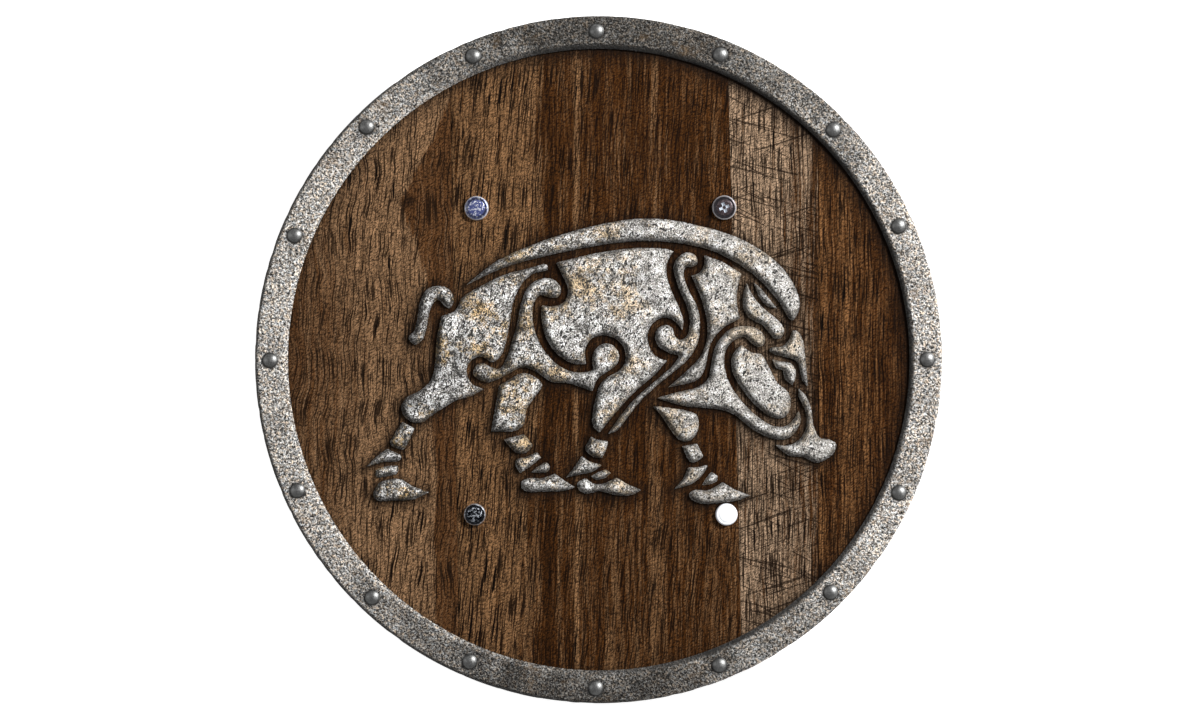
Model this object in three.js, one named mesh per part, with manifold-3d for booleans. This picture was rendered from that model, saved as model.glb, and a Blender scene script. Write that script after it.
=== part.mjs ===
// Round wooden shield, lying face up.
// Four glued planks are bound by an iron rim that sixteen rivets hold. A boar of separate
// raised plates lies on the face, and four carriage bolts hold two leather arm straps behind.
// Units are millimetres, +Z is up and out of the face, +Y is towards the boar's back.
// The origin is on the axis, level with the undersides of the straps, on which the shield lies.

import * as THREE from 'three';
import { mergeVertices } from 'three/addons/utils/BufferGeometryUtils.js';
import Module from 'manifold-3d';

// ---- Driving dimensions ----

const shieldRadius = 305;
const ringSides = 64;

const boardThickness = 12;
const strapDrop = 28;
const boardBack = strapDrop;
const boardFace = boardBack + boardThickness;

// Each joint between planks: its place across the board at mid height, and its lean.
const plankJoints = [
  { x: -128, lean: -0.0155 },
  { x: 121, lean: -0.0235 },
  { x: 195, lean: 0 },
];
const plankNames = ['plank_left', 'plank_middle', 'plank_right', 'plank_far_right'];
const jointGap = 0.3;

const rimWall = 3;
const rimFrontThickness = 5;
const rimBackThickness = 2.5;
const rimFrontInner = 276;
const rimBackInner = 283;
const rimBevelWidth = 4.4;
const rimBevelDepth = 3;
const rimEdgeBevel = 1.2;
const rimFace = boardFace + rimFrontThickness;
const rimBackFace = boardBack - rimBackThickness;
const boardClearance = 0.5;

const rivetCount = 16;
const rivetCircle = 291.4;
const rivetHeadRadius = 6.75;
const rivetHeadHeight = 3.4;
const rivetShankRadius = 3;
const rivetTailRadius = 4.8;
const rivetTailHeight = 1.7;
// Hand setting: how far each rivet sits round from its even place, in degrees,
// counted anticlockwise from +X.
const rivetOffsets = [0, 1.5, -0.6, 0.8, 0.4, 0, -0.1, 0.3, 0.1, 1, 1.4, -0.6, -0.5, -0.9, -0.1, -1.4];

const boltPlaces = {
  upper_left: [-108.5, 134.5],
  upper_right: [111.5, 135],
  lower_left: [-110, -137.5],
  lower_right: [113.5, -137.5],
};
const boltHeadRadius = 10;
const boltHeadHeight = 4.6;
const boltShankRadius = 4;
const boltOverrun = 2;
const boltSides = 12;

const nutFlangeRadius = 9.5;
const nutFlangeHeight = 1.6;
const nutAcrossFlats = 13;
const nutHeight = 8;

const strapWidth = 38;
const strapThickness = 4.5;
const strapPlaces = { left: -109.25, right: 112.5 };
const strapReach = 156;
const strapBendTop = 119;
const strapBendBottom = 72;
const strapBendSteps = 7;

const pinClearance = 0.3;

const plateThickness = 5;
const plateShoulder = 2.2;
const plateBevel = 2.6;
const outlineTolerance = 0.32;

// ---- Materials ----

const oak = { color: 0x5f4730, roughness: 0.75, metalness: 0 };
const rimIron = { color: 0x8a867e, roughness: 0.6, metalness: 0.6 };
const turnedSteel = { color: 0xb9b8b4, roughness: 0.35, metalness: 1 };
const platedSteel = { color: 0x9aa3ad, roughness: 0.3, metalness: 1 };
const plateMetal = { color: 0xb5ada0, roughness: 0.7, metalness: 0.4 };
const saddleLeather = { color: 0x4a2f1c, roughness: 0.65, metalness: 0 };

const shield = new THREE.Group();

function addPiece(name, geometry, finish) {
  const piece = new THREE.Mesh(geometry, new THREE.MeshStandardMaterial(finish));
  piece.name = name;
  shield.add(piece);
  return piece;
}

// ---- Joining and cutting ----

const wasm = await Module();
wasm.setup();

function toSolid(geometry) {
  const bare = new THREE.BufferGeometry();
  bare.setAttribute('position', geometry.getAttribute('position').clone());
  if (geometry.index) {
    bare.setIndex(geometry.index.clone());
  }
  const merged = mergeVertices(bare, 1e-4);
  const vertProperties = new Float32Array(merged.getAttribute('position').array);
  const triVerts = new Uint32Array(merged.index.array);
  return new wasm.Manifold(new wasm.Mesh({ numProp: 3, vertProperties, triVerts }));
}

function toGeometry(solid) {
  const mesh = solid.getMesh();
  const geometry = new THREE.BufferGeometry();
  geometry.setAttribute('position', new THREE.BufferAttribute(mesh.vertProperties, 3));
  geometry.setIndex(new THREE.BufferAttribute(mesh.triVerts, 1));
  geometry.computeVertexNormals();
  return geometry;
}

// An upright prism with the given number of sides, centred at (x, y), from z0 to z1.
function post(x, y, radius, z0, z1, sides) {
  const geometry = new THREE.CylinderGeometry(radius, radius, z1 - z0, sides);
  geometry.rotateX(Math.PI / 2);
  geometry.translate(x, y, (z0 + z1) / 2);
  return geometry;
}

function drill(geometry, holes) {
  let solid = toSolid(geometry);
  for (const hole of holes) {
    solid = solid.subtract(toSolid(hole));
  }
  return toGeometry(solid);
}

// A flat outline of [x, y] pairs, raised from z0 to z1.
function raised(outline, z0, z1) {
  const shape = new THREE.Shape(outline.map(([x, y]) => new THREE.Vector2(x, y)));
  const geometry = new THREE.ExtrudeGeometry(shape, { depth: z1 - z0, bevelEnabled: false });
  geometry.translate(0, 0, z0);
  return geometry;
}

// A profile of [radius, z] pairs turned about the upright axis through (x, y).
function turned(profile, sides, x = 0, y = 0) {
  const points = profile.map(([radius, z]) => new THREE.Vector2(radius, z));
  const geometry = new THREE.LatheGeometry(points, sides);
  geometry.rotateX(Math.PI / 2);
  geometry.translate(x, y, 0);
  return geometry;
}

// ---- Where the pins pass through ----

const rivetPlaces = rivetOffsets.map((offset, i) => {
  const angle = THREE.MathUtils.degToRad((360 / rivetCount) * i + offset);
  return [rivetCircle * Math.cos(angle), rivetCircle * Math.sin(angle)];
});

// Holes whose flats, not corners, stand clear of a pin of the given radius.
function pinHoles(places, radius, z0, z1, sides) {
  const cornerRadius = (radius + pinClearance) / Math.cos(Math.PI / sides);
  return places.map(([x, y]) => post(x, y, cornerRadius, z0, z1, sides));
}

// ---- The board: four planks cut from one disc ----

function makePlanks() {
  const boardRadius = shieldRadius - rimWall - boardClearance;
  const disc = toSolid(post(0, 0, boardRadius, boardBack, boardFace, ringSides));
  const reach = shieldRadius;
  const edges = [
    { x: -reach - 10, lean: 0 },
    ...plankJoints,
    { x: reach + 10, lean: 0 },
  ];
  const holes = [
    ...pinHoles(rivetPlaces, rivetShankRadius, boardBack - 1, boardFace + 1, 6),
    ...pinHoles(Object.values(boltPlaces), boltShankRadius, boardBack - 1, boardFace + 1, 8),
  ].map(toSolid);
  plankNames.forEach((name, i) => {
    const low = edges[i];
    const high = edges[i + 1];
    const lowX = (y) => low.x + low.lean * y + jointGap / 2;
    const highX = (y) => high.x + high.lean * y - jointGap / 2;
    const stave = [
      [lowX(-reach), -reach],
      [highX(-reach), -reach],
      [highX(reach), reach],
      [lowX(reach), reach],
    ];
    let plank = disc.intersect(toSolid(raised(stave, boardBack - 1, boardFace + 1)));
    for (const hole of holes) {
      plank = plank.subtract(hole);
    }
    addPiece(name, toGeometry(plank), oak);
  });
}

// ---- The rim: a channel section, open inwards, that grips the board's edge ----

function makeRim() {
  const inner = shieldRadius - rimWall;
  const profile = [
    [shieldRadius, rimBackFace + rimEdgeBevel],
    [shieldRadius, rimFace - rimEdgeBevel],
    [shieldRadius - rimEdgeBevel, rimFace],
    [rimFrontInner + rimBevelWidth, rimFace],
    [rimFrontInner, rimFace - rimBevelDepth],
    [rimFrontInner, boardFace],
    [inner, boardFace],
    [inner, boardBack],
    [rimBackInner, boardBack],
    [rimBackInner, rimBackFace],
    [shieldRadius - rimEdgeBevel, rimBackFace],
  ];
  profile.push(profile[0]);
  const holes = pinHoles(rivetPlaces, rivetShankRadius, rimBackFace - 1, rimFace + 1, 6);
  addPiece('rim', drill(turned(profile, ringSides), holes), rimIron);
}

function makeRivets() {
  const profile = [
    [0, rimBackFace - rivetTailHeight],
    [rivetTailRadius, rimBackFace],
    [rivetShankRadius, rimBackFace],
    [rivetShankRadius, rimFace],
    [rivetHeadRadius, rimFace],
    [rivetHeadRadius * 0.66, rimFace + rivetHeadHeight * 0.72],
    [0, rimFace + rivetHeadHeight],
  ];
  rivetPlaces.forEach(([x, y], i) => {
    addPiece(`rim_rivet_${i + 1}`, turned(profile, 8, x, y), turnedSteel);
  });
}

// ---- Four carriage bolts and their flanged nuts ----

function makeBolts() {
  const strapBack = boardBack - strapThickness;
  const boltEnd = strapBack - nutHeight - boltOverrun;
  const shankChamfer = 1;
  const domeRings = 3;
  const profile = [
    [0, boltEnd],
    [boltShankRadius - shankChamfer, boltEnd],
    [boltShankRadius, boltEnd + shankChamfer],
    [boltShankRadius, boardFace],
    [boltHeadRadius, boardFace],
  ];
  for (let ring = 1; ring <= domeRings; ring += 1) {
    const turn = (ring / domeRings) * (Math.PI / 2);
    const radius = ring === domeRings ? 0 : boltHeadRadius * Math.cos(turn);
    profile.push([radius, boardFace + boltHeadHeight * Math.sin(turn)]);
  }
  for (const [place, [x, y]] of Object.entries(boltPlaces)) {
    addPiece(`bolt_${place}`, turned(profile, boltSides, x, y), platedSteel);
    const flange = toSolid(post(x, y, nutFlangeRadius, strapBack - nutFlangeHeight, strapBack, 12));
    const cornerRadius = nutAcrossFlats / Math.sqrt(3);
    const hexagon = toSolid(post(x, y, cornerRadius, strapBack - nutHeight, strapBack - 1, 6));
    const [bore] = pinHoles([[x, y]], boltShankRadius, boltEnd - 1, boardBack, 8);
    const nut = flange.add(hexagon).subtract(toSolid(bore));
    addPiece(`nut_${place}`, toGeometry(nut), turnedSteel);
  }
}

// ---- Two leather arm straps, bolted flat at their ends and bowed down to the ground ----

// Height of the strap's middle line below the board, as a smooth S between two flats.
function strapHeight(y) {
  const top = boardBack - strapThickness / 2;
  const bottom = strapThickness / 2;
  const along = (strapBendTop - Math.abs(y)) / (strapBendTop - strapBendBottom);
  const ease = THREE.MathUtils.smoothstep(along, 0, 1);
  return top + (bottom - top) * ease;
}

function strapSection() {
  const middle = [];
  middle.push(-strapReach);
  for (const side of [-1, 1]) {
    for (let i = 0; i <= strapBendSteps; i += 1) {
      const part = side < 0 ? i / strapBendSteps : 1 - i / strapBendSteps;
      middle.push(side * (strapBendTop + (strapBendBottom - strapBendTop) * part));
    }
  }
  middle.push(strapReach);
  const upper = [];
  const lower = [];
  const probe = 0.5;
  for (const y of middle) {
    const slope = (strapHeight(y + probe) - strapHeight(y - probe)) / (2 * probe);
    const flat = Math.abs(slope) < 0.05;
    const length = Math.hypot(1, slope);
    const lean = flat ? 0 : (-slope / length) * (strapThickness / 2);
    const rise = flat ? strapThickness / 2 : (1 / length) * (strapThickness / 2);
    upper.push([y + lean, strapHeight(y) + rise]);
    lower.push([y - lean, strapHeight(y) - rise]);
  }
  return [...lower, ...upper.reverse()];
}

function strapPlan(centre) {
  const half = strapWidth / 2;
  const roundStart = strapReach - half;
  const outline = [];
  const steps = 8;
  for (const side of [1, -1]) {
    for (let i = 0; i <= steps; i += 1) {
      const turn = (Math.PI * i) / steps;
      outline.push([centre + side * half * Math.cos(turn), side * (roundStart + half * Math.sin(turn))]);
    }
  }
  return outline;
}

function makeStraps() {
  for (const [side, centre] of Object.entries(strapPlaces)) {
    const band = raised(strapSection(), -strapWidth, strapWidth);
    // The section is drawn in (y, z); turn it so its drawing plane stands across the strap.
    band.rotateX(Math.PI / 2);
    band.rotateZ(Math.PI / 2);
    band.translate(centre, 0, 0);
    const plan = toSolid(raised(strapPlan(centre), -1, boardBack + 1));
    const places = Object.entries(boltPlaces).filter(([place]) => place.endsWith(side));
    const holes = pinHoles(places.map(([, at]) => at), boltShankRadius, 0, boardBack + 1, 8);
    let strap = toSolid(band).intersect(plan);
    for (const hole of holes) {
      strap = strap.subtract(toSolid(hole));
    }
    addPiece(`strap_${side}`, toGeometry(strap), saddleLeather);
  }
}

// ---- The boar: raised plates that lie on the face ----

// Every outline below is a closed ring of [x, y] places. The edge runs smoothly through them,
// except at a place marked SHARP, where it turns a corner or ends in a point.
const SHARP = true;

const boarPlates = {
  // The mane, one long crescent from the rump to the brow.
  boar_crest: [
    [-119.5, 65, SHARP], [-90, 88], [-46, 107], [0, 120], [44, 125.6], [86, 120], [128, 106.5],
    [161, 84], [176.5, 60], [178.5, 46], [171.5, 34.5], [160, 51.5], [137, 76], [101, 96.5],
    [60, 104.8], [18, 104], [-34, 95], [-86, 81],
  ],
  // The tail: a bulb below and a hook above.
  boar_tail: [
    [-164, 25, SHARP], [-169, 19.5], [-163.5, 13], [-156, 18], [-152.5, 31], [-149.5, 45],
    [-145, 52.5], [-141, 52.5], [-137.5, 48], [-132.5, 45.5], [-128.5, 52], [-131, 61],
    [-141, 65.8], [-152.5, 62.5], [-159, 51], [-161.5, 34],
  ],
  // The rump and hind leg, with a finger forward and a spur behind the hock.
  boar_haunch: [
    [-139.5, 39, SHARP], [-127.5, 43.5], [-122, 54.5], [-104.5, 65.5], [-84, 75.5], [-60, 81.8],
    [-46.5, 84.8], [-45, 80], [-58.5, 76.2], [-69, 66.5], [-76, 50], [-79.5, 29], [-85.5, 5.5],
    [-94, -2.5], [-103.5, 2.7], [-112, 0.5], [-117.3, -8.5], [-113.5, -20.5], [-101.8, -26.4, SHARP],
    [-113, -32.5], [-127, -36.5], [-142, -45.5], [-159.5, -56.4], [-171, -52.5], [-175.5, -43.5],
    [-171.5, -34], [-158, -27], [-148.5, -17], [-145, 0], [-144, 20],
  ],
  // The flank scroll: a curl above, a knob in the barrel's loop and a horn behind.
  boar_hip_scroll: [
    [-72.5, 32], [-69, 50.5], [-62.5, 65], [-52, 71.8], [-41, 71.8], [-33.5, 64], [-35.5, 55.8],
    [-44, 55], [-52, 57.3], [-57.8, 49.5], [-58, 31], [-51, 12], [-37.5, -3.8], [-24, -10.6],
    [-11, -11], [-5, -8.5], [-6, -2, SHARP], [-4.6, 7], [3, 14], [12, 13.4], [18, 5.5], [17, -3.3],
    [10, -9.2], [-0.8, -16.8], [-5.3, -28.3, SHARP], [-26.5, -21], [-41, -20.3], [-55.5, -11],
    [-68, -6.7], [-83, -14.2], [-99, -20.3], [-111.5, -13.5], [-109.5, -5.5], [-103, -2.8],
    [-96, -6.5], [-88, -8], [-81, 3.5], [-75.5, 22],
  ],
  // The barrel, running down into the near foreleg.
  boar_barrel: [
    [-38, 86.2, SHARP], [0, 95.2], [30, 99], [61, 98.3], [66.8, 96.2, SHARP], [61.5, 88], [60, 78],
    [63.5, 64], [70.5, 48.5], [75.3, 35], [74.5, 25.3, SHARP], [69.5, 32.3], [62, 37],
    [53, 36], [45.3, 28.5], [43.3, 18], [47.5, 6.5], [54.5, 0.8], [61.2, -0.5, SHARP],
    [51, -12.4], [31, -29.6], [12.5, -50.2], [0.5, -65.3, SHARP], [-5.5, -58.5], [-5, -44],
    [-1.8, -30], [0.8, -22.5], [7, -16], [18.5, -9.5], [23.6, -1], [22.5, 10], [15.5, 18.2],
    [4.5, 21.7], [-6.5, 18.3],
    [-11.8, 10], [-11.3, -4, SHARP], [-22, -4], [-36.5, 4.3], [-47, 19.5], [-51.2, 38],
    [-50.8, 48.5, SHARP], [-41, 47.2], [-31, 51], [-27.2, 62], [-31, 72],
  ],
  // The shoulder scroll, from a curl at the nape to a trailing point between the forelegs.
  boar_shoulder_scroll: [
    [66.3, 80], [67.5, 87], [72.5, 93], [79.5, 95.4], [86.5, 92], [87.8, 85.5], [83, 82],
    [77, 82], [75.6, 75], [80.5, 60.5], [88, 46], [90, 27], [86.8, 11.5], [77.5, -1.8],
    [58.5, -17.2], [39.5, -34.2], [24.5, -53], [16.5, -63], [7.8, -66.4, SHARP], [19, -50],
    [30.7, -36], [51.5, -18.2], [66.5, -4.4], [71.8, 3.6, SHARP], [62, 6], [52.5, 12.5],
    [50, 22.5], [54, 29], [60.5, 31], [65.5, 28], [67.5, 21], [72.7, 17.4], [78.5, 21.5],
    [81, 33], [78.5, 46.5], [71, 63],
  ],
  // The neck, narrowing down to a long point under the throat.
  boar_neck: [
    [93.7, 93, SHARP], [110, 87], [127, 76.3, SHARP], [123.4, 64], [122.6, 50], [125.6, 36.7, SHARP],
    [113, 30], [102, 19], [97.2, 7], [95, -6], [88.5, -17.5], [61, -25, SHARP], [78, -10.2],
    [91.5, 4.5], [96.6, 24], [93, 48.5], [82.3, 74.4, SHARP], [89.5, 77.3], [93.6, 84],
  ],
  // The jaw, curling over the cheek above and sweeping round below it.
  boar_jaw: [
    [51, -34.1, SHARP], [70, -28.8], [88, -24.2], [97, -17], [100.2, -3], [102.5, 9.5], [109, 20.5],
    [119, 28.3], [133, 30], [143.5, 26], [148, 18.5], [146, 12.5], [141, 11.2], [135.5, 14.5],
    [129.5, 20], [122, 18.2], [114, 10.5], [111.4, -2], [114, -16], [120.5, -28.5], [137.5, -47.8],
    [155, -58.8], [166, -59], [173, -53], [177.5, -45, SHARP], [179.7, -53], [176.5, -62],
    [168, -70], [156, -70.6], [138, -63], [119, -48], [103, -43.7], [78, -41.8],
  ],
  // The cheek, a long bean with a small horn at the top.
  boar_cheek: [
    [126.8, 13.8, SHARP], [131.5, 9], [137.5, 6], [144, 5.2], [151.5, -7.5], [159, -21], [167.5, -27.8],
    [171, -37], [169, -46.5], [162, -52.4], [151, -49.8], [139, -40.5], [126, -24.5], [118.2, -9],
    [118.7, 4],
  ],
  boar_ear: [
    [131.4, 69, SHARP], [134.5, 61], [141, 51], [153, 40.5], [163, 31], [165, 25], [162, 19.3],
    [156.5, 18.3], [151.5, 23], [145.5, 30.5], [135, 36], [129, 43.5], [127.8, 56],
  ],
  boar_inner_ear: [
    [137.3, 68.8, SHARP], [142, 65.2], [150, 56.5], [158.6, 45.3, SHARP], [150.5, 47], [143, 54.5],
  ],
  boar_brow: [
    [172.8, 26.5], [178, 23.8], [181.8, 16], [183.5, 0], [186, -24.6, SHARP], [181, -19],
    [178.3, -8], [175.5, -1.2], [166, 2], [156, 4.7], [151.4, 8], [153.2, 11], [163, 11.7],
    [168.6, 17],
  ],
  boar_eye: [
    [153.6, 0.6, SHARP], [161, -1.5], [170.5, -3], [175, -9.5], [174.5, -18], [172, -22.9, SHARP],
    [165, -17], [163, -9], [158, -8],
  ],
  boar_snout: [
    [177.3, -25.3, SHARP], [184.5, -32.5], [189, -44.5], [191, -59.5], [196, -69], [206, -71.2],
    [211, -74.8], [208.5, -83.5], [194, -91.8], [182, -86.5], [169, -85.4], [156.2, -75.3, SHARP],
    [169, -76], [179, -70], [184.6, -58], [183.8, -46.5], [177.5, -33],
  ],
  // Far hind leg, shank to hoof.
  boar_far_shank: [
    [-174.5, -55, SHARP], [-163.3, -61, SHARP], [-168, -71.5], [-173.5, -80], [-181, -78.5],
    [-185.5, -75], [-181, -65],
  ],
  boar_far_fetlock: [
    [-188, -78.8, SHARP], [-175, -85.8], [-177, -89.7], [-189, -90.5], [-207, -95.5, SHARP],
    [-197.5, -86],
  ],
  boar_far_hoof: [
    [-200, -118], [-195.5, -109.5], [-185, -106], [-176, -106], [-165, -112.5], [-150.8, -117.8, SHARP],
    [-165, -124.4], [-182, -125.2], [-194, -125.8], [-199.5, -123],
  ],
  // Near hind leg, thigh to hoof.
  boar_thigh: [
    [-88.5, -23, SHARP], [-78.5, -16.8], [-67.5, -11.7], [-58, -14.5], [-50, -22], [-57, -33.5],
    [-64, -44], [-66.5, -58], [-75, -63.5], [-95.8, -64, SHARP], [-92, -44],
  ],
  boar_hock: [
    [-84.5, -70.8, SHARP], [-66, -66, SHARP], [-58.2, -76.3, SHARP], [-64, -82.5], [-73.5, -82.8],
  ],
  boar_hind_fetlock: [
    [-73.5, -88.8], [-64, -86.3], [-55, -81.8, SHARP], [-50.8, -87, SHARP], [-59, -93.8],
    [-69.8, -101, SHARP], [-73.5, -95.5],
  ],
  boar_hind_toe: [
    [-60.5, -100.2, SHARP], [-54, -95], [-46.5, -91], [-43, -95.3], [-46, -100], [-54, -100.7],
  ],
  boar_hind_hoof: [
    [-68.5, -108], [-62, -105], [-51, -105.3], [-38.6, -101.2, SHARP], [-31, -107], [-20.8, -113.3, SHARP],
    [-30, -116.5], [-48, -117], [-63, -117.6], [-68.5, -114],
  ],
  // Near foreleg, knee to hoof.
  boar_knee: [
    [-6.6, -67.8, SHARP], [-2.5, -70.8], [8.7, -72.3, SHARP], [7, -79.5], [3, -87.5, SHARP],
    [-5, -86.5], [-12.3, -79.3], [-10, -73.8],
  ],
  boar_fore_fetlock: [
    [-15, -85.2, SHARP], [-9, -90], [3.5, -93.6, SHARP], [-6, -99.8], [-17, -102.5],
    [-28.8, -104.6, SHARP], [-20.5, -94],
  ],
  boar_fore_hoof: [
    [-19, -109.5], [-11.8, -105, SHARP], [-5, -110], [4, -110.2], [16, -104.5, SHARP],
    [25, -110.3], [37.8, -115.6, SHARP], [30, -120.2], [17, -120.8], [0, -116.8], [-11, -119],
    [-17.5, -116],
  ],
  // Far foreleg, forearm to hoof.
  boar_forearm: [
    [47.8, -41.2, SHARP], [60, -42.3], [86.5, -48.4], [89, -55], [87, -66], [80, -72.5], [71.5, -71.5],
    [62, -60], [55, -49],
  ],
  boar_far_knee: [
    [74, -76.8, SHARP], [87.3, -74.4, SHARP], [93.2, -86, SHARP], [88, -90.3], [81, -91],
  ],
  boar_far_fore_fetlock: [
    [79, -95.8, SHARP], [89, -95.2], [96.8, -93.3], [93, -101.5], [84, -109.8], [66.7, -115.3, SHARP],
    [75.5, -105],
  ],
  boar_far_fore_hoof: [
    [80, -119.5], [85, -115.5], [97, -116], [110, -108.7, SHARP], [121, -115.5], [135.3, -120.7, SHARP],
    [122, -125.6], [110, -126.8], [98.5, -128.3], [88, -127.3], [81, -123],
  ],
};

function distanceToLine(point, a, b) {
  const along = b.clone().sub(a);
  const length = Math.max(along.length(), 1e-9);
  const out = point.clone().sub(a);
  if (length < 1e-6) {
    return out.length();
  }
  return Math.abs(along.cross(out)) / length;
}

// Leaves out the points of a run that lie on a straight line between their neighbours.
function thin(run, tolerance) {
  let worst = 0;
  let at = 0;
  for (let i = 1; i < run.length - 1; i += 1) {
    const distance = distanceToLine(run[i], run[0], run[run.length - 1]);
    if (distance > worst) {
      worst = distance;
      at = i;
    }
  }
  if (worst <= tolerance) {
    return [run[0], run[run.length - 1]];
  }
  const before = thin(run.slice(0, at + 1), tolerance);
  return [...before.slice(0, -1), ...thin(run.slice(at), tolerance)];
}

// The smooth curve through a run of places, as points close enough to follow it.
function smoothRun(places) {
  const through = places.map(([x, y]) => new THREE.Vector3(x, y, 0));
  const curve = new THREE.CatmullRomCurve3(through, false, 'centripetal');
  const points = curve.getPoints(12 * (places.length - 1));
  return thin(points.map((p) => new THREE.Vector2(p.x, p.y)), outlineTolerance);
}

// A ring of places becomes one anticlockwise outline. It is cut into runs at its corners. A ring
// with no corner is run round from its first place, led in and out by its neighbours.
function outlineOf(places) {
  const corner = places.findIndex(([, , sharp]) => sharp);
  const outline = [];
  if (corner < 0) {
    const through = places.map(([x, y]) => new THREE.Vector3(x, y, 0));
    const curve = new THREE.CatmullRomCurve3(through, true, 'centripetal');
    const points = curve.getPoints(12 * places.length).map((p) => new THREE.Vector2(p.x, p.y));
    const half = Math.floor(points.length / 2);
    outline.push(...thin(points.slice(0, half + 1), outlineTolerance).slice(0, -1));
    outline.push(...thin(points.slice(half), outlineTolerance).slice(0, -1));
  } else {
    const ring = [...places.slice(corner), ...places.slice(0, corner + 1)];
    let run = [ring[0]];
    for (const place of ring.slice(1)) {
      run.push(place);
      if (place[2]) {
        outline.push(...smoothRun(run).slice(0, -1));
        run = [place];
      }
    }
  }
  if (THREE.ShapeUtils.isClockWise(outline)) {
    outline.reverse();
  }
  return outline;
}

// Distance from a point along a direction to the far side of the outline.
function widthAcross(outline, point, direction) {
  let nearest = Infinity;
  for (let i = 0; i < outline.length; i += 1) {
    const a = outline[i];
    const side = outline[(i + 1) % outline.length].clone().sub(a);
    const denominator = direction.cross(side);
    if (Math.abs(denominator) > 1e-9) {
      const to = a.clone().sub(point);
      const along = to.cross(side) / denominator;
      const share = to.cross(direction) / denominator;
      if (along > 0.05 && share >= -1e-6 && share <= 1 + 1e-6) {
        nearest = Math.min(nearest, along);
      }
    }
  }
  return nearest;
}

// The outline drawn in for a bevelled edge, by less where the plate is narrow or pointed.
function drawnIn(outline, bevel) {
  const count = outline.length;
  return outline.map((point, i) => {
    const before = point.clone().sub(outline[(i + count - 1) % count]);
    const after = outline[(i + 1) % count].clone().sub(point);
    const shorter = Math.min(before.length(), after.length());
    const a = before.normalize();
    const b = after.normalize();
    const inward = new THREE.Vector2(-a.y - b.y, a.x + b.x).normalize();
    const spread = Math.max(0.45, inward.dot(new THREE.Vector2(-a.y, a.x)));
    const convex = a.cross(b) > 0.35;
    const room = widthAcross(outline, point, inward) * 0.3;
    const reach = Math.min(bevel / spread, room, convex ? Math.max(0.6, shorter * 0.75) : Infinity);
    return point.clone().addScaledVector(inward, reach);
  });
}

function plateGeometry(outline) {
  const levels = [
    { ring: outline, z: boardFace },
    { ring: outline, z: boardFace + plateShoulder },
    { ring: drawnIn(outline, plateBevel), z: boardFace + plateThickness },
  ];
  const count = outline.length;
  const positions = [];
  for (const { ring, z } of levels) {
    for (const point of ring) {
      positions.push(point.x, point.y, z);
    }
  }
  const index = [];
  for (let level = 0; level < levels.length - 1; level += 1) {
    for (let i = 0; i < count; i += 1) {
      const next = (i + 1) % count;
      const a = level * count + i;
      const b = level * count + next;
      index.push(a, b, b + count);
      index.push(a, b + count, a + count);
    }
  }
  const top = (levels.length - 1) * count;
  for (const [a, b, c] of THREE.ShapeUtils.triangulateShape(levels[0].ring, [])) {
    index.push(c, b, a);
  }
  for (const [a, b, c] of THREE.ShapeUtils.triangulateShape(levels[levels.length - 1].ring, [])) {
    index.push(top + a, top + b, top + c);
  }
  const geometry = new THREE.BufferGeometry();
  geometry.setAttribute('position', new THREE.Float32BufferAttribute(positions, 3));
  geometry.setIndex(index);
  geometry.computeVertexNormals();
  return geometry;
}

function makeBoar() {
  for (const [name, places] of Object.entries(boarPlates)) {
    addPiece(name, plateGeometry(outlineOf(places)), plateMetal);
  }
}

makePlanks();
makeRim();
makeRivets();
makeBolts();
makeStraps();
makeBoar();

export default shield;
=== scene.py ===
"""Boar shield: four oak planks in a riveted iron rim, with a raised boar built up from cast plates."""
import functools
import math
import bpy
import numpy as np
from bpy.props import FloatProperty, FloatVectorProperty, IntProperty, PointerProperty
from mathutils import Matrix, Vector
from mathutils.bvhtree import BVHTree


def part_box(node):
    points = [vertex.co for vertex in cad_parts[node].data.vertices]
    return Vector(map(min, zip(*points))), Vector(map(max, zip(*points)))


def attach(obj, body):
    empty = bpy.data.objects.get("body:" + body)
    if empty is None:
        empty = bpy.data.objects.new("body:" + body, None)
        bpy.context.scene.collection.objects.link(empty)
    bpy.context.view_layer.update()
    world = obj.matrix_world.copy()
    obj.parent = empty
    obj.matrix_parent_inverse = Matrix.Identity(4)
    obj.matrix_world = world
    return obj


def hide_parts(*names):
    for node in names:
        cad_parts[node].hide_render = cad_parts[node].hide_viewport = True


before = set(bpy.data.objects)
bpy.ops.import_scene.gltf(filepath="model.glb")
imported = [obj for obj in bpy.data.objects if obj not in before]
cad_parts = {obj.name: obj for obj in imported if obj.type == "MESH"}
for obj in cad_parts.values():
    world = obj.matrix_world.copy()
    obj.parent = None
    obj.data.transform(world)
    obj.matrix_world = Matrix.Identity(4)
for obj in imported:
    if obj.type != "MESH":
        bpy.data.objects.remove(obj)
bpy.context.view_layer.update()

bl_info = {
    "name": "Boar shield",
    "version": (1, 0, 0),
    "blender": (4, 5, 0),
    "location": "3D View > Sidebar > Shield",
    "description": "Builds a planked round shield with a riveted iron rim and a raised boar of cast plates",
    "category": "Object",
}

MM = 0.001
SMOOTH_ANGLE = math.radians(42)
SAME_POINT = 2e-6
BOARD_BACK, BOARD_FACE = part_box("plank_middle")[0][2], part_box("plank_middle")[1][2]
BOARD_RADIUS = 0.3015
RIM_BACK, RIM_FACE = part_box("rim")[0][2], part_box("rim")[1][2]
PLATE_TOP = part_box("boar_barrel")[1][2]

# Each joint between planks: its place across the board in mm, and how far it leans for each mm along it.
JOINTS = [(-301.4, 0), (-128, -0.0155), (121, -0.0235), (195, 0), (301.4, 0)]
# Half the gap between two planks, in mm.
GLUE_LINE = 0.15
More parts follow.
